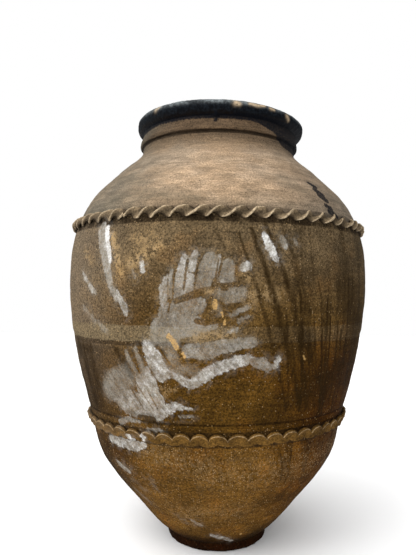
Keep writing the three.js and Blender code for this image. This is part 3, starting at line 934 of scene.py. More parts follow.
def lowerClay():
    finish = Finish("coarseClay")
    level = finish.field("level")
    side = finish.sideways()
    cloud = finish.noise(9, 4, 0.6)
    patch = finish.noise(28, 3, 0.6)
    runs = finish.noise(42, 3, 0.6, finish.stretched((1, 1, 0.09)))
    rings = finish.noise(40, 3, 0.6, finish.stretched((0.25, 0.25, 3.2)))
    grain = finish.noise(270, 4, 0.78)
    foot, lower, belly, shoulder = [joints[name] for name in ("foot", "lower", "belly", "shoulder")]

    # the bare clay, from the top down
    colour = finish.between(finish.ramp(level, 0.5, 0.7), "bellyMiddle", "bellyTop")
    colour = finish.laid(colour, finish.ramp(level, 0.5, 0.4), "bellyLow")
    colour = finish.laid(colour, finish.ramp(level, lower + 0.004, lower - 0.004), "cone")
    colour = finish.laid(colour, finish.ramp(level, 0.07, 0.015), "foot")
    colour = finish.varied(colour, cloud, 0.2, 0.74, 1.28)
    colour = finish.varied(colour, patch, 0.2, 0.82, 1.18)
    rust = finish.ramp(finish.noise(14, 3, 0.6), 0.52, 0.7, 0.0, 0.35)
    colour = finish.tinted(colour, rust, (1.15, 0.88, 0.6))
    onRight = finish.ramp(side, 0.02, 0.2, 0.12, 0.5)
    colour = finish.laid(colour, finish.times(finish.ramp(runs, 0.47, 0.62), onRight), "stain")
    colour = finish.varied(colour, rings, 0.18, 0.84, 1.14)

    # pale dust on the left, partly painted light from that side; painted shade on the right; darker and more
    # saturated low on the right; soot low on the left; the cone darker towards its left and right edges
    onLeft = finish.ramp(side, -0.12, -0.34, 0.0, 0.62)
    dustedAndLit = finish.times(onLeft, finish.ramp(level, 0.3, 0.5, 0.25, 1.0))
    colour = finish.laid(colour, dustedAndLit, "dustAndLeftLight")
    # painted shade on the right side, partly also staining
    colour = finish.shade(colour, finish.ramp(side, 0.1, 0.33, 1.0, 0.74))
    # darker and more saturated low on the right
    lowOnRight = finish.times(finish.ramp(side, 0.04, 0.26), finish.ramp(level, 0.54, 0.42))
    colour = finish.tinted(colour, lowOnRight, (0.7, 0.5, 0.2))
    sooty = finish.times(finish.ramp(side, -0.15, -0.27), finish.band(level, 0.33, 0.462, 0.02), 0.75)
    colour = finish.tinted(colour, sooty, (0.42, 0.4, 0.38))
    onCone = finish.ramp(level, 0.3, 0.26)
    colour = finish.tinted(colour, finish.times(finish.ramp(side, -0.09, -0.24), onCone), (0.34, 0.31, 0.25))
    colour = finish.tinted(colour, finish.times(finish.ramp(side, 0.06, 0.24), onCone), (0.78, 0.76, 0.6))

    # the wiped seam at the belly, with a dark band under it that is partly painted shadow under the seam
    # step and partly stain, and the scored guide line with painted shade in it
    seamLevel = finish.add(level, finish.centred(finish.noise(12, 3), 0.012))
    shadowed = finish.band(seamLevel, belly - 0.012, belly - 0.005, 0.004)
    colour = finish.laid(colour, finish.times(shadowed, finish.ramp(side, 0.1, -0.2, 0.15, 0.6)), "pit")
    wiped = finish.band(seamLevel, belly - 0.004, belly + 0.024, 0.0025)
    wiped = finish.times(wiped, finish.ramp(side, 0.1, -0.18, 0.22, 0.85))
    colour = finish.laid(colour, finish.times(wiped, finish.ramp(cloud, 0.3, 0.6, 0.7, 1.1)), "seam")
    groove = finish.band(level, lower + 0.0265, lower + 0.0295, 0.0015)
    colour = finish.shade(colour, finish.ramp(groove, 0.0, 1.0, 1.0, 0.45))

    # painted shade under and over the ropes and over the foot joint
    underUpper = finish.band(level, shoulder - 0.0165, shoulder - 0.005, 0.003)
    overLower = finish.band(level, lower + 0.004, lower + 0.0125, 0.003)
    underLower = finish.band(level, lower - 0.0165, lower - 0.0125, 0.0025)
    overFoot = finish.band(level, foot - 0.001, foot + 0.002, 0.002)
    creaseShade = finish.add(
        finish.times(underUpper, finish.ramp(runs, 0.3, 0.6, 0.35, 0.85)),
        finish.times(overLower, 0.55),
        finish.times(underLower, finish.ramp(runs, 0.3, 0.6, 0.35, 0.75)),
        finish.times(overFoot, 0.5),
    )
    colour = finish.laid(colour, finish.times(creaseShade, finish.ramp(patch, 0.3, 0.6, 0.7, 1.1)), "pit")

    # grain, pale grit, rubbed places and pits
    colour = finish.varied(colour, grain, 0.14, 0.42, 1.68)
    grit, first, second = finish.grains(260)
    rubbed = finish.field("rub")
    chance = finish.add(first, finish.ramp(level, 0.36, 0.27, 0.0, 0.1), finish.times(rubbed, 0.55))
    palest = finish.times(grit, finish.ramp(chance, 0.84, 0.94), finish.ramp(level, 0.03, 0.08, 0.15, 1.0))
    colour = finish.laid(colour, finish.times(palest, 0.75), finish.between(second, "grit", "ochre"))
    rubShare = finish.times(rubbed, finish.ramp(finish.noise(130, 4, 0.75), 0.44, 0.56), 0.85)
    rubShare = finish.times(rubShare, finish.ramp(level, 0.27, 0.32, 0.3, 1.0))
    colour = finish.laid(colour, rubShare, finish.between(patch, "grit", "ochre"))
    pits = finish.times(grit, finish.ramp(second, 0.86, 0.95))
    colour = finish.laid(colour, finish.times(pits, 0.85), "pit")
    colour, limeShare = marked(finish, colour, grain)

    normal = finish.bump(finish.noise(110, 4, 0.65), 0.004, 0.6)
    normal = finish.bump(rings, 0.003, 0.35, normal)
    normal = finish.bump(grain, 0.0024, 0.85, normal)
    normal = finish.bump(finish.math("SUBTRACT", palest, pits), 0.0008, 0.5, normal)
    normal = finish.bump(limeShare, 0.0008, 0.5, normal)
    return finish.finish(colour, finish.ramp(limeShare, 0.0, 1.0, 0.85, 0.95), normal, 0.03)


def upperClay():
    finish = Finish("smoothedClay")
    level = finish.field("level")
    side = finish.sideways()
    cloud = finish.noise(8, 4, 0.6, finish.stretched((1, 1, 1.8)))
    patch = finish.noise(26, 4, 0.6, finish.stretched((1, 1, 2.4)))
    lines = finish.noise(30, 4, 0.7, finish.stretched((0.6, 0.6, 11)))
    brushed = finish.noise(70, 3, 0.6, finish.stretched((0.3, 0.3, 5)))
    grain = finish.noise(330, 4, 0.75)
    shoulder, collar, rim = [joints[name] for name in ("shoulder", "collar", "rim")]

    colour = finish.between(finish.ramp(cloud, 0.35, 0.65), "shoulder", "shoulderWarm")
    wander = finish.add(level, finish.centred(patch, 0.05))
    lowDown = finish.ramp(wander, shoulder + 0.06, shoulder + 0.005, 0.0, 0.6)
    colour = finish.laid(colour, lowDown, "shoulderLow")
    # darker towards the neck: partly darker clay, partly painted shade
    colour = finish.laid(colour, finish.ramp(wander, collar - 0.06, collar - 0.005, 0.0, 0.9), "neck")
    colour = finish.laid(colour, finish.ramp(level, collar - 0.001, collar + 0.001, 0.0, 0.9), "collar")
    # greyer and darker towards the left and right: partly grey-green staining, partly painted shade towards
    # the edges
    sideWander = finish.add(side, finish.centred(cloud, 0.16))
    colour = finish.laid(colour, finish.ramp(sideWander, -0.05, -0.25, 0.0, 0.62), "shoulderLeft")
    colour = finish.laid(colour, finish.ramp(sideWander, 0.05, 0.25, 0.0, 0.5), "shoulderRight")
    colour = finish.varied(colour, patch, 0.2, 0.76, 1.2)
    colour = finish.varied(colour, lines, 0.16, 0.8, 1.16)
    colour = finish.varied(colour, brushed, 0.16, 0.93, 1.06)

    # painted shade in the crevice under the collar, under the rim and along the top of the upper rope
    crevice = finish.band(level, collar - 0.0035, collar + 0.0012, 0.002)
    underRim = finish.ramp(level, rim - 0.007, rim - 0.001)
    overRope = finish.band(level, shoulder, shoulder + 0.0125, 0.004)
    creaseShade = finish.add(finish.times(crevice, 0.85), finish.times(underRim, 0.6), finish.times(overRope, 0.5))
    colour = finish.laid(colour, finish.times(creaseShade, finish.ramp(patch, 0.3, 0.6, 0.75, 1.05)), "pit")
    colour = finish.varied(colour, grain, 0.14, 0.66, 1.3)
    grit, _, second = finish.grains(240)
    moreHighUp = finish.ramp(level, collar - 0.06, collar + 0.02, 0.0, 0.16)
    pits = finish.times(grit, finish.ramp(finish.add(second, moreHighUp), 0.93, 0.98))
    colour = finish.laid(colour, finish.times(pits, 0.85), "pit")
    colour, _ = marked(finish, colour, grain)

    normal = finish.bump(lines, 0.0022, 0.5)
    normal = finish.bump(grain, 0.0012, 0.6, normal)
    normal = finish.bump(finish.rest(pits), 0.0018, 0.7, normal)
    return finish.finish(colour, finish.ramp(grain, 0.3, 0.7, 0.74, 0.86), normal, 0.08)


def tarPaint():
    finish = Finish("tarPaint")
    level = finish.field("level")
    cloud = finish.noise(18, 4, 0.65)
    fine = finish.noise(170, 4, 0.75)
    colour = finish.between(finish.ramp(fine, 0.4, 0.68), "tarDeep", "tarThin")
    # a painted grey-blue sheen on the top of the rim
    onTop = finish.ramp(level, joints["top"] - 0.018, joints["top"] - 0.003)
    topSheen = finish.times(finish.ramp(cloud, 0.38, 0.6, 0.2, 1.0), finish.ramp(fine, 0.4, 0.6, 0.45, 1.0))
    topSheen = finish.times(topSheen, onTop)
    colour = finish.laid(colour, topSheen, "tarSheen")
    lowEdge = finish.add(level, finish.centred(cloud, 0.02))
    under = finish.ramp(lowEdge, joints["rim"] + 0.012, joints["rim"] + 0.002)
    colour = finish.laid(colour, finish.times(under, 0.75), "tarUnder")
    rubbed = finish.times(finish.field("rub"), finish.ramp(fine, 0.3, 0.5), 1.1)
    colour = finish.laid(colour, finish.atMost(rubbed, 0.95), "tarRubbed")
    colour, _ = marked(finish, colour, fine)
    normal = finish.bump(finish.noise(120, 4, 0.6), 0.0025, 0.7)
    normal = finish.bump(fine, 0.0012, 0.6, normal)
    return finish.finish(colour, finish.ramp(fine, 0.3, 0.7, 0.45, 0.75), normal, 0.035)


def ropeClay():
    finish = Finish("pressedClay")
    side = finish.sideways()
    patch = finish.noise(30, 4, 0.6)
    grain = finish.noise(270, 4, 0.78)
    upper = finish.ramp(finish.field("level"), 0.4, 0.6)
    colour = finish.between(upper, "ropeLow", "ropeHigh")
    colour = finish.varied(colour, patch, 0.2, 0.65, 1.35)
    proud = finish.field("proud")
    # painted shade where the rope lies low, in its hollows and along its edges against the wall
    colour = finish.laid(colour, finish.ramp(proud, 0.68, 0.16, 0.0, 0.95), "pit")

    # the hollow middle of the upper rope's strip gets painted shade, and both ropes have pale edges that are
    # partly rubbed wear and partly painted highlight
    rounded = finish.field("edge")
    hollowed = finish.ramp(rounded, 0.05, 0.75, 0.58, 1.15)
    colour = finish.shade(colour, finish.mix(upper, (1.05, 1.0, 0.9), hollowed))
    shown = finish.math("MAXIMUM", finish.ramp(proud, 0.3, 0.6), finish.rest(upper))
    edge = finish.times(finish.ramp(rounded, 0.78, 0.96), shown, finish.ramp(patch, 0.3, 0.6, 0.45, 1.0))
    edgeColour = finish.between(upper, "ropeEdgeLow", "ropeEdgeHigh")
    colour = finish.laid(colour, finish.times(edge, 0.78), edgeColour)

    colour = finish.varied(colour, grain, 0.14, 0.55, 1.5)
    # pale dust on the left, partly painted light from that side
    colour = finish.laid(colour, finish.ramp(side, -0.14, -0.33, 0.0, 0.4), "dustAndLeftLight")
    # painted shade on the right side, partly also staining
    colour = finish.shade(colour, finish.ramp(side, 0.1, 0.33, 1.0, 0.7))
    colour, _ = marked(finish, colour, grain)
    normal = finish.bump(finish.noise(150, 4, 0.6), 0.0025, 0.6)
    normal = finish.bump(grain, 0.0016, 0.8, normal)
    return finish.finish(colour, 0.85, normal, 0.05)


def slipFinish():
    finish = Finish("slipCoat")
    sand = finish.noise(420, 3, 0.6)
    colour = finish.between(finish.ramp(sand, 0.35, 0.65), "slipDark", "slipPale")
    return finish.finish(colour, 0.9, finish.bump(sand, 0.0008, 0.6))


coarseClay = lowerClay()
smoothedClay = upperClay()
rimPaint = tarPaint()
pressedClay = ropeClay()
slipCoat = slipFinish()
print("finishes made")


def settle(piece, slot, *nodes):
    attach(piece, "root")
    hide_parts(*nodes)


def makeWall(name, node, low, high, material, slot, spacing):
    outline = wallOutline(joints[low], joints[high], spacing)
    settle(turnedPiece(name, outline, material, blendedSurface), slot, node)


makeWall("lowerWall", "lower_wall", "foot", "lower", coarseClay, "lower_clay", 0.0031)
makeWall("lowerBelly", "lower_belly_wall", "lower", "belly", coarseClay, "lower_clay", 0.0025)
makeWall("upperBelly", "upper_belly_wall", "belly", "shoulder", coarseClay, "lower_clay", 0.0025)
makeWall("shoulder", "shoulder_wall", "shoulder", "collar", smoothedClay, "upper_clay", 0.0028)
print("walls turned")

slipValues = {"inset": 0.0015, "halfThickness": 0.0008}


def makeSlip(joint, radius, bore):
    # the thin coat of slip inside a joint, which rises towards the inside
    inset = slipValues["inset"]
    half = slipValues["halfThickness"]
    low = joints[joint]
    high = low + jointRise
    rows = [(radius - inset, low - half, 1), (radius - inset, low + half, 1)]
    rows += [(bore + inset, high + half, 0), (bore + inset, high - half, 0)]

    def surface(angle, height):
        return blendedSurface(angle, angle * 0 + low)

    piece = turnedPiece("slip" + joint.capitalize(), rows, slipCoat, surface)
    settle(piece, "slip", "slip_joint_" + joint)


for joint in ("foot", "lower", "belly", "shoulder"):
    makeSlip(joint, float(wallRadius(joints[joint])), float(boreRadius(joints[joint] + jointRise)))
for joint in ("collar", "rim"):
    makeSlip(joint, wallValues["neckRadius"] - 0.002, wallValues["neckRadius"] - wallValues["neckWall"])
print("slip laid")

footValues = {"edge": 0.01, "floor": 0.027, "rowSpacing": 0.0035}


def makeFoot(values):
    radius = halfWidth("foot_disc")
    seam = joints["foot"]
    bore = boreRadius(seam + jointRise)
    edge = values["edge"]
    rows = [(0, 0, 0)]
    rows += [(r, 0, 0) for r in np.linspace(0.02, radius - edge, 5)[:-1]]
    turn = np.linspace(-math.pi / 2, 0, 8)
    rows += [(radius - edge + edge * math.cos(a), edge + edge * math.sin(a), 1) for a in turn]
    spacing = values["rowSpacing"]
    rows += [(radius, z, 1) for z in np.arange(edge + spacing, seam - 0.001, spacing)]
    rows += [(radius - 0.0006, seam, 1), (radius - 0.002, seam - halfSeam * 0.5, 0)]
    rows += [(bore, seam + jointRise - halfSeam, 0)]
    rows += [(r, values["floor"], 0) for r in np.linspace(bore - 0.01, 0.02, 6)]
    rows += [(0, values["floor"], 0)]
    piece = turnedPiece("foot", rows, coarseClay, roughSurface)
    settle(piece, "lower_clay", "foot_disc")


makeFoot(footValues)

# The collar as steps of [share of the way up it, how far it stands out from the neck].
collarValues = {
    "steps": [
        (0, 0.0005), (0.03, 0.004), (0.09, 0.0062), (0.2, 0.0072),
        (0.36, 0.0068), (0.55, 0.0045), (0.8, 0.0034), (1, 0.0032),
    ],
    "edgeWave": 0.0012,
}


def makeCollar(values):
    low = joints["collar"]
    high = joints["rim"]
    shares = np.linspace(0, 1, 30) ** 1.25
    places = np.array(values["steps"])
    stands = np.interp(shares, places[:, 0], places[:, 1])
    neck = wallValues["neckRadius"]
    bore = neck - wallValues["neckWall"]
    rows = [(neck + out, low + share * (high - low), 1) for share, out in zip(shares, stands)]
    rows += [(neck + 0.001, high, 0), (neck + 0.001, high - halfSeam, 0)]
    rows += [(bore + 0.001, high + jointRise - halfSeam, 0), (bore + 0.001, high + jointRise, 0)]
    rows += [(bore, z, 0) for z in np.linspace(high + jointRise, low + jointRise, 5)]
    rows += [(bore + 0.001, low + jointRise, 0), (bore + 0.001, low + jointRise + halfSeam, 0)]
    rows += [(neck - 0.003, low + halfSeam, 0)]

    def surface(angle, height):
        share = (height - low) / (high - low)
        ragged = values["edgeWave"] * ringNoise(angle, height * 0, 90, 0.5, 21)
        return smoothSurface(angle, height) + ragged * np.exp(-((share - 0.1) / 0.12) ** 2)

    piece = turnedPiece("collar", rows, smoothedClay, surface)
    settle(piece, "upper_clay", "neck_collar")


makeCollar(collarValues)

rimValues = {
    "fuller": 0.002,
    "middleShare": 0.6,
    "steps": 44,
    "lump": 0.0011,
    "grain": 0.0004,
    "drip": [(-3.6, 0.965, 0.006), (-3.6, 0.957, 0.004)],
    "dripStand": 0.005,
}


def makeRim(values):
    low = joints["rim"]
    top = joints["top"]
    outer = halfWidth("rim_bead") + values["fuller"]
    bore = wallValues["neckRadius"] - wallValues["neckWall"]
    foot = wallValues["neckRadius"] + 0.0032
    centre = (outer + bore) / 2
    half = (outer - bore) / 2
    middle = low + values["middleShare"] * (top - low)
    rows = [(foot, low, 1)]
    for turn in np.linspace(-0.95, math.pi, values["steps"]):
        tall = middle - low - 0.0005 if turn < 0 else top - middle
        rows.append((centre + half * math.cos(turn), middle + tall * math.sin(turn), 1))
    rows += [(bore, z, 1) for z in np.linspace(middle - 0.004, low + jointRise, 4)]
    rows += [(bore + 0.001, low + jointRise, 0), (bore + 0.001, low + jointRise + halfSeam, 0)]
    rows += [(foot - 0.001, low + halfSeam, 0), (foot - 0.001, low, 0)]

    def surface(angle, height):
        push = values["lump"] * ringNoise(angle, height, 26, 0.02, 31)
        push += values["grain"] * ringNoise(angle, height, 200, 0.006, 32)
        drip = softField(angle, climbAt(height), angle * 0 + outer, [(1, values["drip"])])
        return push + values["dripStand"] * drip * (height < middle)

    piece = turnedPiece("rim", rows, rimPaint, surface)
    settle(piece, "tar_paint", "rim_bead")


makeRim(rimValues)
print("foot, collar and rim turned")


ropeValues = {
    "pitch": 0.036,
    "halfWidth": 0.0122,
    "halfThickness": 0.0068,
    "hollow": 0.68,
    "flattening": 0.82,
    "bury": 0.0025,
    "stepsPerPitch": 18,
    "sectionSteps": 30,
    "twistUneven": 0.9,
    "heightUneven": 0.0026,
    "endGap": 0.0006,
    "thumbDepth": 0.0046,
    "lipRise": 0.0022,
    "cuspShare": 0.4,
    "lobeLean": 0.5,
    "lobeUneven": 0.12,
    "lowerWave": 0.45,
    "cuspSink": 0.002,
    "dentPlace": (0.42, 0.26),
    "lipPlace": (0.84, 0.1),
    "edgePlace": (0.89, 0.085),
    "backSink": 0.0012,
    "pebbles": (0.0006, 0.0004),
    "fullProud": 0.0105,
}


def ropeTree():
    tree = bpy.data.node_groups.new("twistedRope", "GeometryNodeTree")
    sockets = tree.interface
    sockets.new_socket("Geometry", in_out="OUTPUT", socket_type="NodeSocketGeometry")
    sizes = ("Radius", "Start", "Sweep", "Pitches", "Twist", "HalfWidth", "HalfThickness", "Hollow")
    for name in (*sizes, "TwistUneven", "HeightUneven", "Phase"):
        sockets.new_socket(name, in_out="INPUT", socket_type="NodeSocketFloat")
    for name in ("Steps", "SectionSteps"):
        sockets.new_socket(name, in_out="INPUT", socket_type="NodeSocketInt")
    sockets.new_socket("Finish", in_out="INPUT", socket_type="NodeSocketMaterial")
    nodes = tree.nodes
    given = nodes.new("NodeGroupInput").outputs
    result = nodes.new("NodeGroupOutput")

    def join(source, target):
        tree.links.new(source, target)

    def calc(operation, a, b=None):
        made = nodes.new("ShaderNodeMath")
        made.operation = operation
        for socket, value in zip(made.inputs, (a, b)):
            if isinstance(value, bpy.types.NodeSocket):
                join(value, socket)
            elif value is not None:
                socket.default_value = value
        return made.outputs[0]

    def uneven(scale, amount):
        # smooth unevenness along the rope, centred on zero
        made = nodes.new("ShaderNodeTexNoise")
        made.noise_dimensions = "1D"
        made.inputs["Scale"].default_value = scale
        made.inputs["Detail"].default_value = 1.0
        along = nodes.new("GeometryNodeSplineParameter").outputs["Factor"]
        turns = calc("MULTIPLY", along, given["Pitches"])
        join(calc("ADD", turns, given["Phase"]), made.inputs["W"])
        centred = calc("SUBTRACT", made.outputs["Fac"], 0.5)
        return calc("MULTIPLY", calc("MULTIPLY", centred, 2.0), amount)

    arc = nodes.new("GeometryNodeCurveArc")
    join(given["Steps"], arc.inputs["Resolution"])
    join(given["Radius"], arc.inputs["Radius"])
    join(given["Start"], arc.inputs["Start Angle"])
    join(given["Sweep"], arc.inputs["Sweep Angle"])
    upright = nodes.new("GeometryNodeSetCurveNormal")
    upright.mode = "Z_UP"
    join(arc.outputs["Curve"], upright.inputs["Curve"])
    tilt = nodes.new("GeometryNodeSetCurveTilt")
    join(upright.outputs["Curve"], tilt.inputs["Curve"])
    along = nodes.new("GeometryNodeSplineParameter").outputs["Factor"]
    halfTurn = calc("MULTIPLY", given["Twist"], -math.pi)
    turns = calc("MULTIPLY", calc("MULTIPLY", along, given["Pitches"]), halfTurn)
    turns = calc("ADD", turns, uneven(0.9, given["TwistUneven"]))
    join(calc("ADD", turns, given["Phase"]), tilt.inputs["Tilt"])
    lift = nodes.new("GeometryNodeSetPosition")
    join(tilt.outputs["Curve"], lift.inputs["Geometry"])
    offset = nodes.new("ShaderNodeCombineXYZ")
    join(uneven(0.37, given["HeightUneven"]), offset.inputs["Z"])
    join(offset.outputs[0], lift.inputs["Offset"])
    size = nodes.new("GeometryNodeSetCurveRadius")
    join(lift.outputs["Geometry"], size.inputs["Curve"])
    join(calc("ADD", uneven(0.6, 0.16), 1.0), size.inputs["Radius"])

    section = nodes.new("GeometryNodeCurvePrimitiveCircle")
    join(given["SectionSteps"], section.inputs["Resolution"])
    section.inputs["Radius"].default_value = 1.0
    shape = nodes.new("GeometryNodeSetPosition")
    join(section.outputs["Curve"], shape.inputs["Geometry"])
    split = nodes.new("ShaderNodeSeparateXYZ")
    join(nodes.new("GeometryNodeInputPosition").outputs[0], split.inputs[0])
    middle = calc("SUBTRACT", 1.0, calc("POWER", calc("ABSOLUTE", split.outputs["X"]), 1.6))
    thin = calc("SUBTRACT", 1.0, calc("MULTIPLY", middle, given["Hollow"]))
    flat = nodes.new("ShaderNodeCombineXYZ")
    join(calc("MULTIPLY", split.outputs["X"], given["HalfWidth"]), flat.inputs["X"])
    thick = calc("MULTIPLY", split.outputs["Y"], given["HalfThickness"])
    join(calc("MULTIPLY", thick, thin), flat.inputs["Y"])
    join(flat.outputs[0], shape.inputs["Position"])
    edged = nodes.new("GeometryNodeStoreNamedAttribute")
    edged.inputs["Name"].default_value = "edge"
    join(section.outputs["Curve"], edged.inputs["Geometry"])
    join(calc("ABSOLUTE", split.outputs["X"]), edged.inputs["Value"])
    join(edged.outputs["Geometry"], shape.inputs["Geometry"])

    sweep = nodes.new("GeometryNodeCurveToMesh")
    join(size.outputs["Curve"], sweep.inputs["Curve"])
    join(shape.outputs["Geometry"], sweep.inputs["Profile Curve"])
    if "Scale" in sweep.inputs:
        join(nodes.new("GeometryNodeInputRadius").outputs[0], sweep.inputs["Scale"])
    sweep.inputs["Fill Caps"].default_value = True
    smooth = nodes.new("GeometryNodeSetShadeSmooth")
    join(sweep.outputs["Mesh"], smooth.inputs["Geometry"])
    realize = nodes.new("GeometryNodeRealizeInstances")
    join(smooth.outputs["Geometry"], realize.inputs["Geometry"])
    painted = nodes.new("GeometryNodeSetMaterial")
    join(realize.outputs["Geometry"], painted.inputs["Geometry"])
    join(given["Finish"], painted.inputs["Material"])
    join(painted.outputs["Geometry"], result.inputs["Geometry"])
    return tree


twistedRope = ropeTree()


def grown(name, tree, settings):
    # runs a tree on an empty mesh and keeps the result as a plain mesh
    holder = bpy.data.objects.new(name + "Holder", bpy.data.meshes.new(name + "Empty"))
    bpy.context.scene.collection.objects.link(holder)
    modifier = holder.modifiers.new("tree", "NODES")
    modifier.node_group = tree
    for item in tree.interface.items_tree:
        if item.in_out == "INPUT" and item.name in settings:
            modifier[item.identifier] = settings[item.name]
    bpy.context.view_layer.update()
    graph = bpy.context.evaluated_depsgraph_get()
    mesh = bpy.data.meshes.new_from_object(holder.evaluated_get(graph), depsgraph=graph)
    bpy.data.objects.remove(holder)
    mesh.name = name
    piece = bpy.data.objects.new(name, mesh)
    bpy.context.scene.collection.objects.link(piece)
    return piece


def archAt(place):
    return np.sqrt(np.clip(1 - (2 * np.mod(place, 1) - 1) ** 2, 0, 1))


def hump(share, middle, width):
    return np.exp(-(((share - middle) / width) ** 2))


def thumbed(angle, out, height, joint, pitches):
    # presses thumb marks into a plain strip: each lobe has an arched lip, with a cusp between two
    values = ropeValues
    lean = values["lobeLean"]
    cusp = values["cuspShare"]
    rise = np.clip((height - joint) / values["halfWidth"] / 2 + 0.5, 0, 1)
    uneven = values["lobeUneven"] * ringNoise(angle, angle * 0, int(pitches / 2), 0.5, 51)
    place = angle / (2 * math.pi) * pitches + uneven
    arch = archAt(place - lean * rise)
    top = 2.1 * (cusp + (1 - cusp) * archAt(place - lean)) - 1
    foot = values["lowerWave"] * (1 - archAt(place)) - 1.05
    height = joint + values["halfWidth"] * (foot + (top - foot) * rise)
    dent = hump(rise, *values["dentPlace"]) * arch
    lip = hump(rise, *values["lipPlace"])
    out = out + (values["lipRise"] * lip - values["thumbDepth"] * dent) * (out > 0)
    out = out - values["cuspSink"] * (1 - arch) * (out > 0)
    return out, height, hump(rise, *values["edgePlace"])


def pressOntoWall(mesh, joint, pitches, twisted):
    # flattens the strip against the wall, as a thumb does, and sinks its back into the wall
    values = ropeValues
    points = np.empty(len(mesh.vertices) * 3)
    mesh.vertices.foreach_get("co", points)
    points = points.reshape(-1, 3)
    angle = np.arctan2(points[:, 0], -points[:, 1])
    out = np.hypot(points[:, 0], points[:, 1]) - wallRadius(joint)
    lean = wallLean(joint)
    slant = np.hypot(1, lean)
    height = joint + points[:, 2] / slant
    if twisted:
        out = out * values["flattening"]
    out = out + values["halfThickness"] - values["bury"]
    if not twisted:
        out, height, edge = thumbed(angle, out, height, joint, pitches)
        mesh.attributes["edge"].data.foreach_set("value", edge.astype(np.float32))
    out = np.maximum(out, -values["backSink"])
    coarse, fine = values["pebbles"]
    push = coarse * ringNoise(angle, height, 420, 0.006, 41)
    push += fine * ringNoise(angle, height, 900, 0.0025, 42)
    out = out + push * np.clip(out / 0.004, 0, 1)
    radius = wallRadius(height) + out / slant
    height = height - out * lean / slant
    mesh.vertices.foreach_set("co", handShaped(angle, radius, height).ravel())
    addMarks(mesh, angle, radius, height, np.ones(len(angle)))
    proud = mesh.attributes.new("proud", "FLOAT", "POINT")
    proud.data.foreach_set("value", (out / values["fullProud"]).astype(np.float32))
    mesh.update()


def makeRope(name, nodeStem, joint, spliceDegrees, twisted):
    values = ropeValues
    height = joints[joint]
    radius = float(wallRadius(height))
    pitches = 2 * round(math.pi * radius / values["pitch"])
    gap = values["endGap"] / 2 / radius
    for half in (0, 1):
        start = math.radians(spliceDegrees) + half * math.pi + gap
        settings = {
            "Radius": radius,
            "Start": start - math.pi / 2,
            "Sweep": math.pi - 2 * gap,
            "Pitches": pitches / 2,
            "Twist": 1.0 if twisted else 0.0,
            "HalfWidth": values["halfWidth"],
            "HalfThickness": values["halfThickness"] * (1.0 if twisted else 0.9),
            "Hollow": values["hollow"] if twisted else 0.0,
            "TwistUneven": values["twistUneven"] if twisted else 0.0,
            "HeightUneven": values["heightUneven"] if twisted else 0.0008,
            "Phase": 0.7 - half * math.pi * pitches / 2 if twisted else math.pi / 2,
            "Steps": int(pitches / 2 * values["stepsPerPitch"]),
            "SectionSteps": values["sectionSteps"],
            "Finish": pressedClay,
        }
        piece = grown(name + "AB"[half], twistedRope, settings)
        pressOntoWall(piece.data, height, pitches, twisted)
        settle(piece, "rope_clay", f"{nodeStem}_length_{half + 1}")


makeRope("lowerRope", "lower_rope", "lower", 98, False)
makeRope("upperRope", "upper_rope", "shoulder", -33, True)
print("ropes twisted")


studioValues = {
    "floorSize": 14,
    "floorColour": (0.96, 0.96, 0.96),
    "keyPower": 30,
    "keySize": 1.6,
    "keyPlace": (-1.3, -1.9, 2.9),
    "keyDirection": (-0.3, -0.55, 0.78),
    "keyGlow": 2.2,
    "sideDirection": (-0.95, -0.2, 0.25),
    "sideGlow": 0.75,
    "skyGlow": 0.34,
    "skySeen": 1.0,
}


def makeFloor(values):
    half = values["floorSize"] / 2
    mesh = bpy.data.meshes.new("floor")
    corners = [(-half, -half, 0), (half, -half, 0), (half, half, 0), (-half, half, 0)]
    mesh.from_pydata(corners, [], [(0, 1, 2, 3)])
    floor = bpy.data.objects.new("floor", mesh)
    bpy.context.scene.collection.objects.link(floor)
    finish = Finish("paleFloor")
    cloud = finish.noise(3, 2)
    pale = values["floorColour"]
    colour = finish.mix(cloud, pale, tuple(c * 0.985 for c in pale))
    mesh.materials.append(finish.finish(colour, 0.7, finish.bump(cloud, 0.0005, 0.1)))


def makeLight(name, power, size, place, target):
    data = bpy.data.lights.new(name, "AREA")
    data.energy = power
    data.shape = "DISK"
    data.size = size
    light = bpy.data.objects.new(name, data)
    bpy.context.scene.collection.objects.link(light)
    light.location = place
    towards = np.array(target) - np.array(place)
    flat = math.hypot(towards[0], towards[1])
    turn = math.atan2(towards[1], towards[0]) - math.pi / 2
    light.rotation_euler = (math.atan2(flat, -towards[2]), 0, turn)


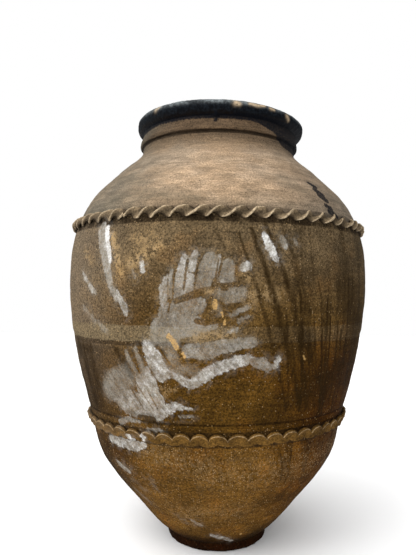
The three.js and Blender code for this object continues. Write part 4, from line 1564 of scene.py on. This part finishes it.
def makeSky(values):
    # a plain white surround that gives more light from above the front and from the left
    world = bpy.data.worlds.new("sky")
    bpy.context.scene.world = world
    world.use_nodes = True
    tree = world.node_tree
    tree.nodes.clear()

    def glow(direction, strength, power):
        # light that fades away from one direction
        length = math.hypot(*direction)
        dot = tree.nodes.new("ShaderNodeVectorMath")
        dot.operation = "DOT_PRODUCT"
        tree.links.new(place, dot.inputs[0])
        dot.inputs[1].default_value = [part / length for part in direction]
        facing = tree.nodes.new("ShaderNodeMath")
        facing.operation = "MAXIMUM"
        tree.links.new(dot.outputs["Value"], facing.inputs[0])
        facing.inputs[1].default_value = 0
        raised = tree.nodes.new("ShaderNodeMath")
        raised.operation = "POWER"
        tree.links.new(facing.outputs[0], raised.inputs[0])
        raised.inputs[1].default_value = power
        scaled = tree.nodes.new("ShaderNodeMath")
        scaled.operation = "MULTIPLY"
        tree.links.new(raised.outputs[0], scaled.inputs[0])
        scaled.inputs[1].default_value = strength
        return scaled.outputs[0]

    def added(a, b):
        made = tree.nodes.new("ShaderNodeMath")
        tree.links.new(a, made.inputs[0])
        if isinstance(b, bpy.types.NodeSocket):
            tree.links.new(b, made.inputs[1])
        else:
            made.inputs[1].default_value = b
        return made.outputs[0]

    place = tree.nodes.new("ShaderNodeTexCoord").outputs["Object"]
    above = glow(values["keyDirection"], values["keyGlow"], 1.6)
    left = glow(values["sideDirection"], values["sideGlow"], 2.0)
    lit = tree.nodes.new("ShaderNodeBackground")
    tree.links.new(added(added(above, left), values["skyGlow"]), lit.inputs["Strength"])
    seen = tree.nodes.new("ShaderNodeBackground")
    seen.inputs["Strength"].default_value = values["skySeen"]
    for background in (lit, seen):
        background.inputs["Color"].default_value = (1, 1, 1, 1)
    ray = tree.nodes.new("ShaderNodeLightPath")
    mixed = tree.nodes.new("ShaderNodeMixShader")
    output = tree.nodes.new("ShaderNodeOutputWorld")
    tree.links.new(ray.outputs["Is Camera Ray"], mixed.inputs[0])
    tree.links.new(lit.outputs[0], mixed.inputs[1])
    tree.links.new(seen.outputs[0], mixed.inputs[2])
    tree.links.new(mixed.outputs[0], output.inputs[0])


middle = (0, 0, joints["top"] / 2)
makeFloor(studioValues)
makeLight("key", studioValues["keyPower"], studioValues["keySize"], studioValues["keyPlace"], middle)
makeSky(studioValues)
bpy.context.scene.view_settings.view_transform = "Standard"
print("studio lit")
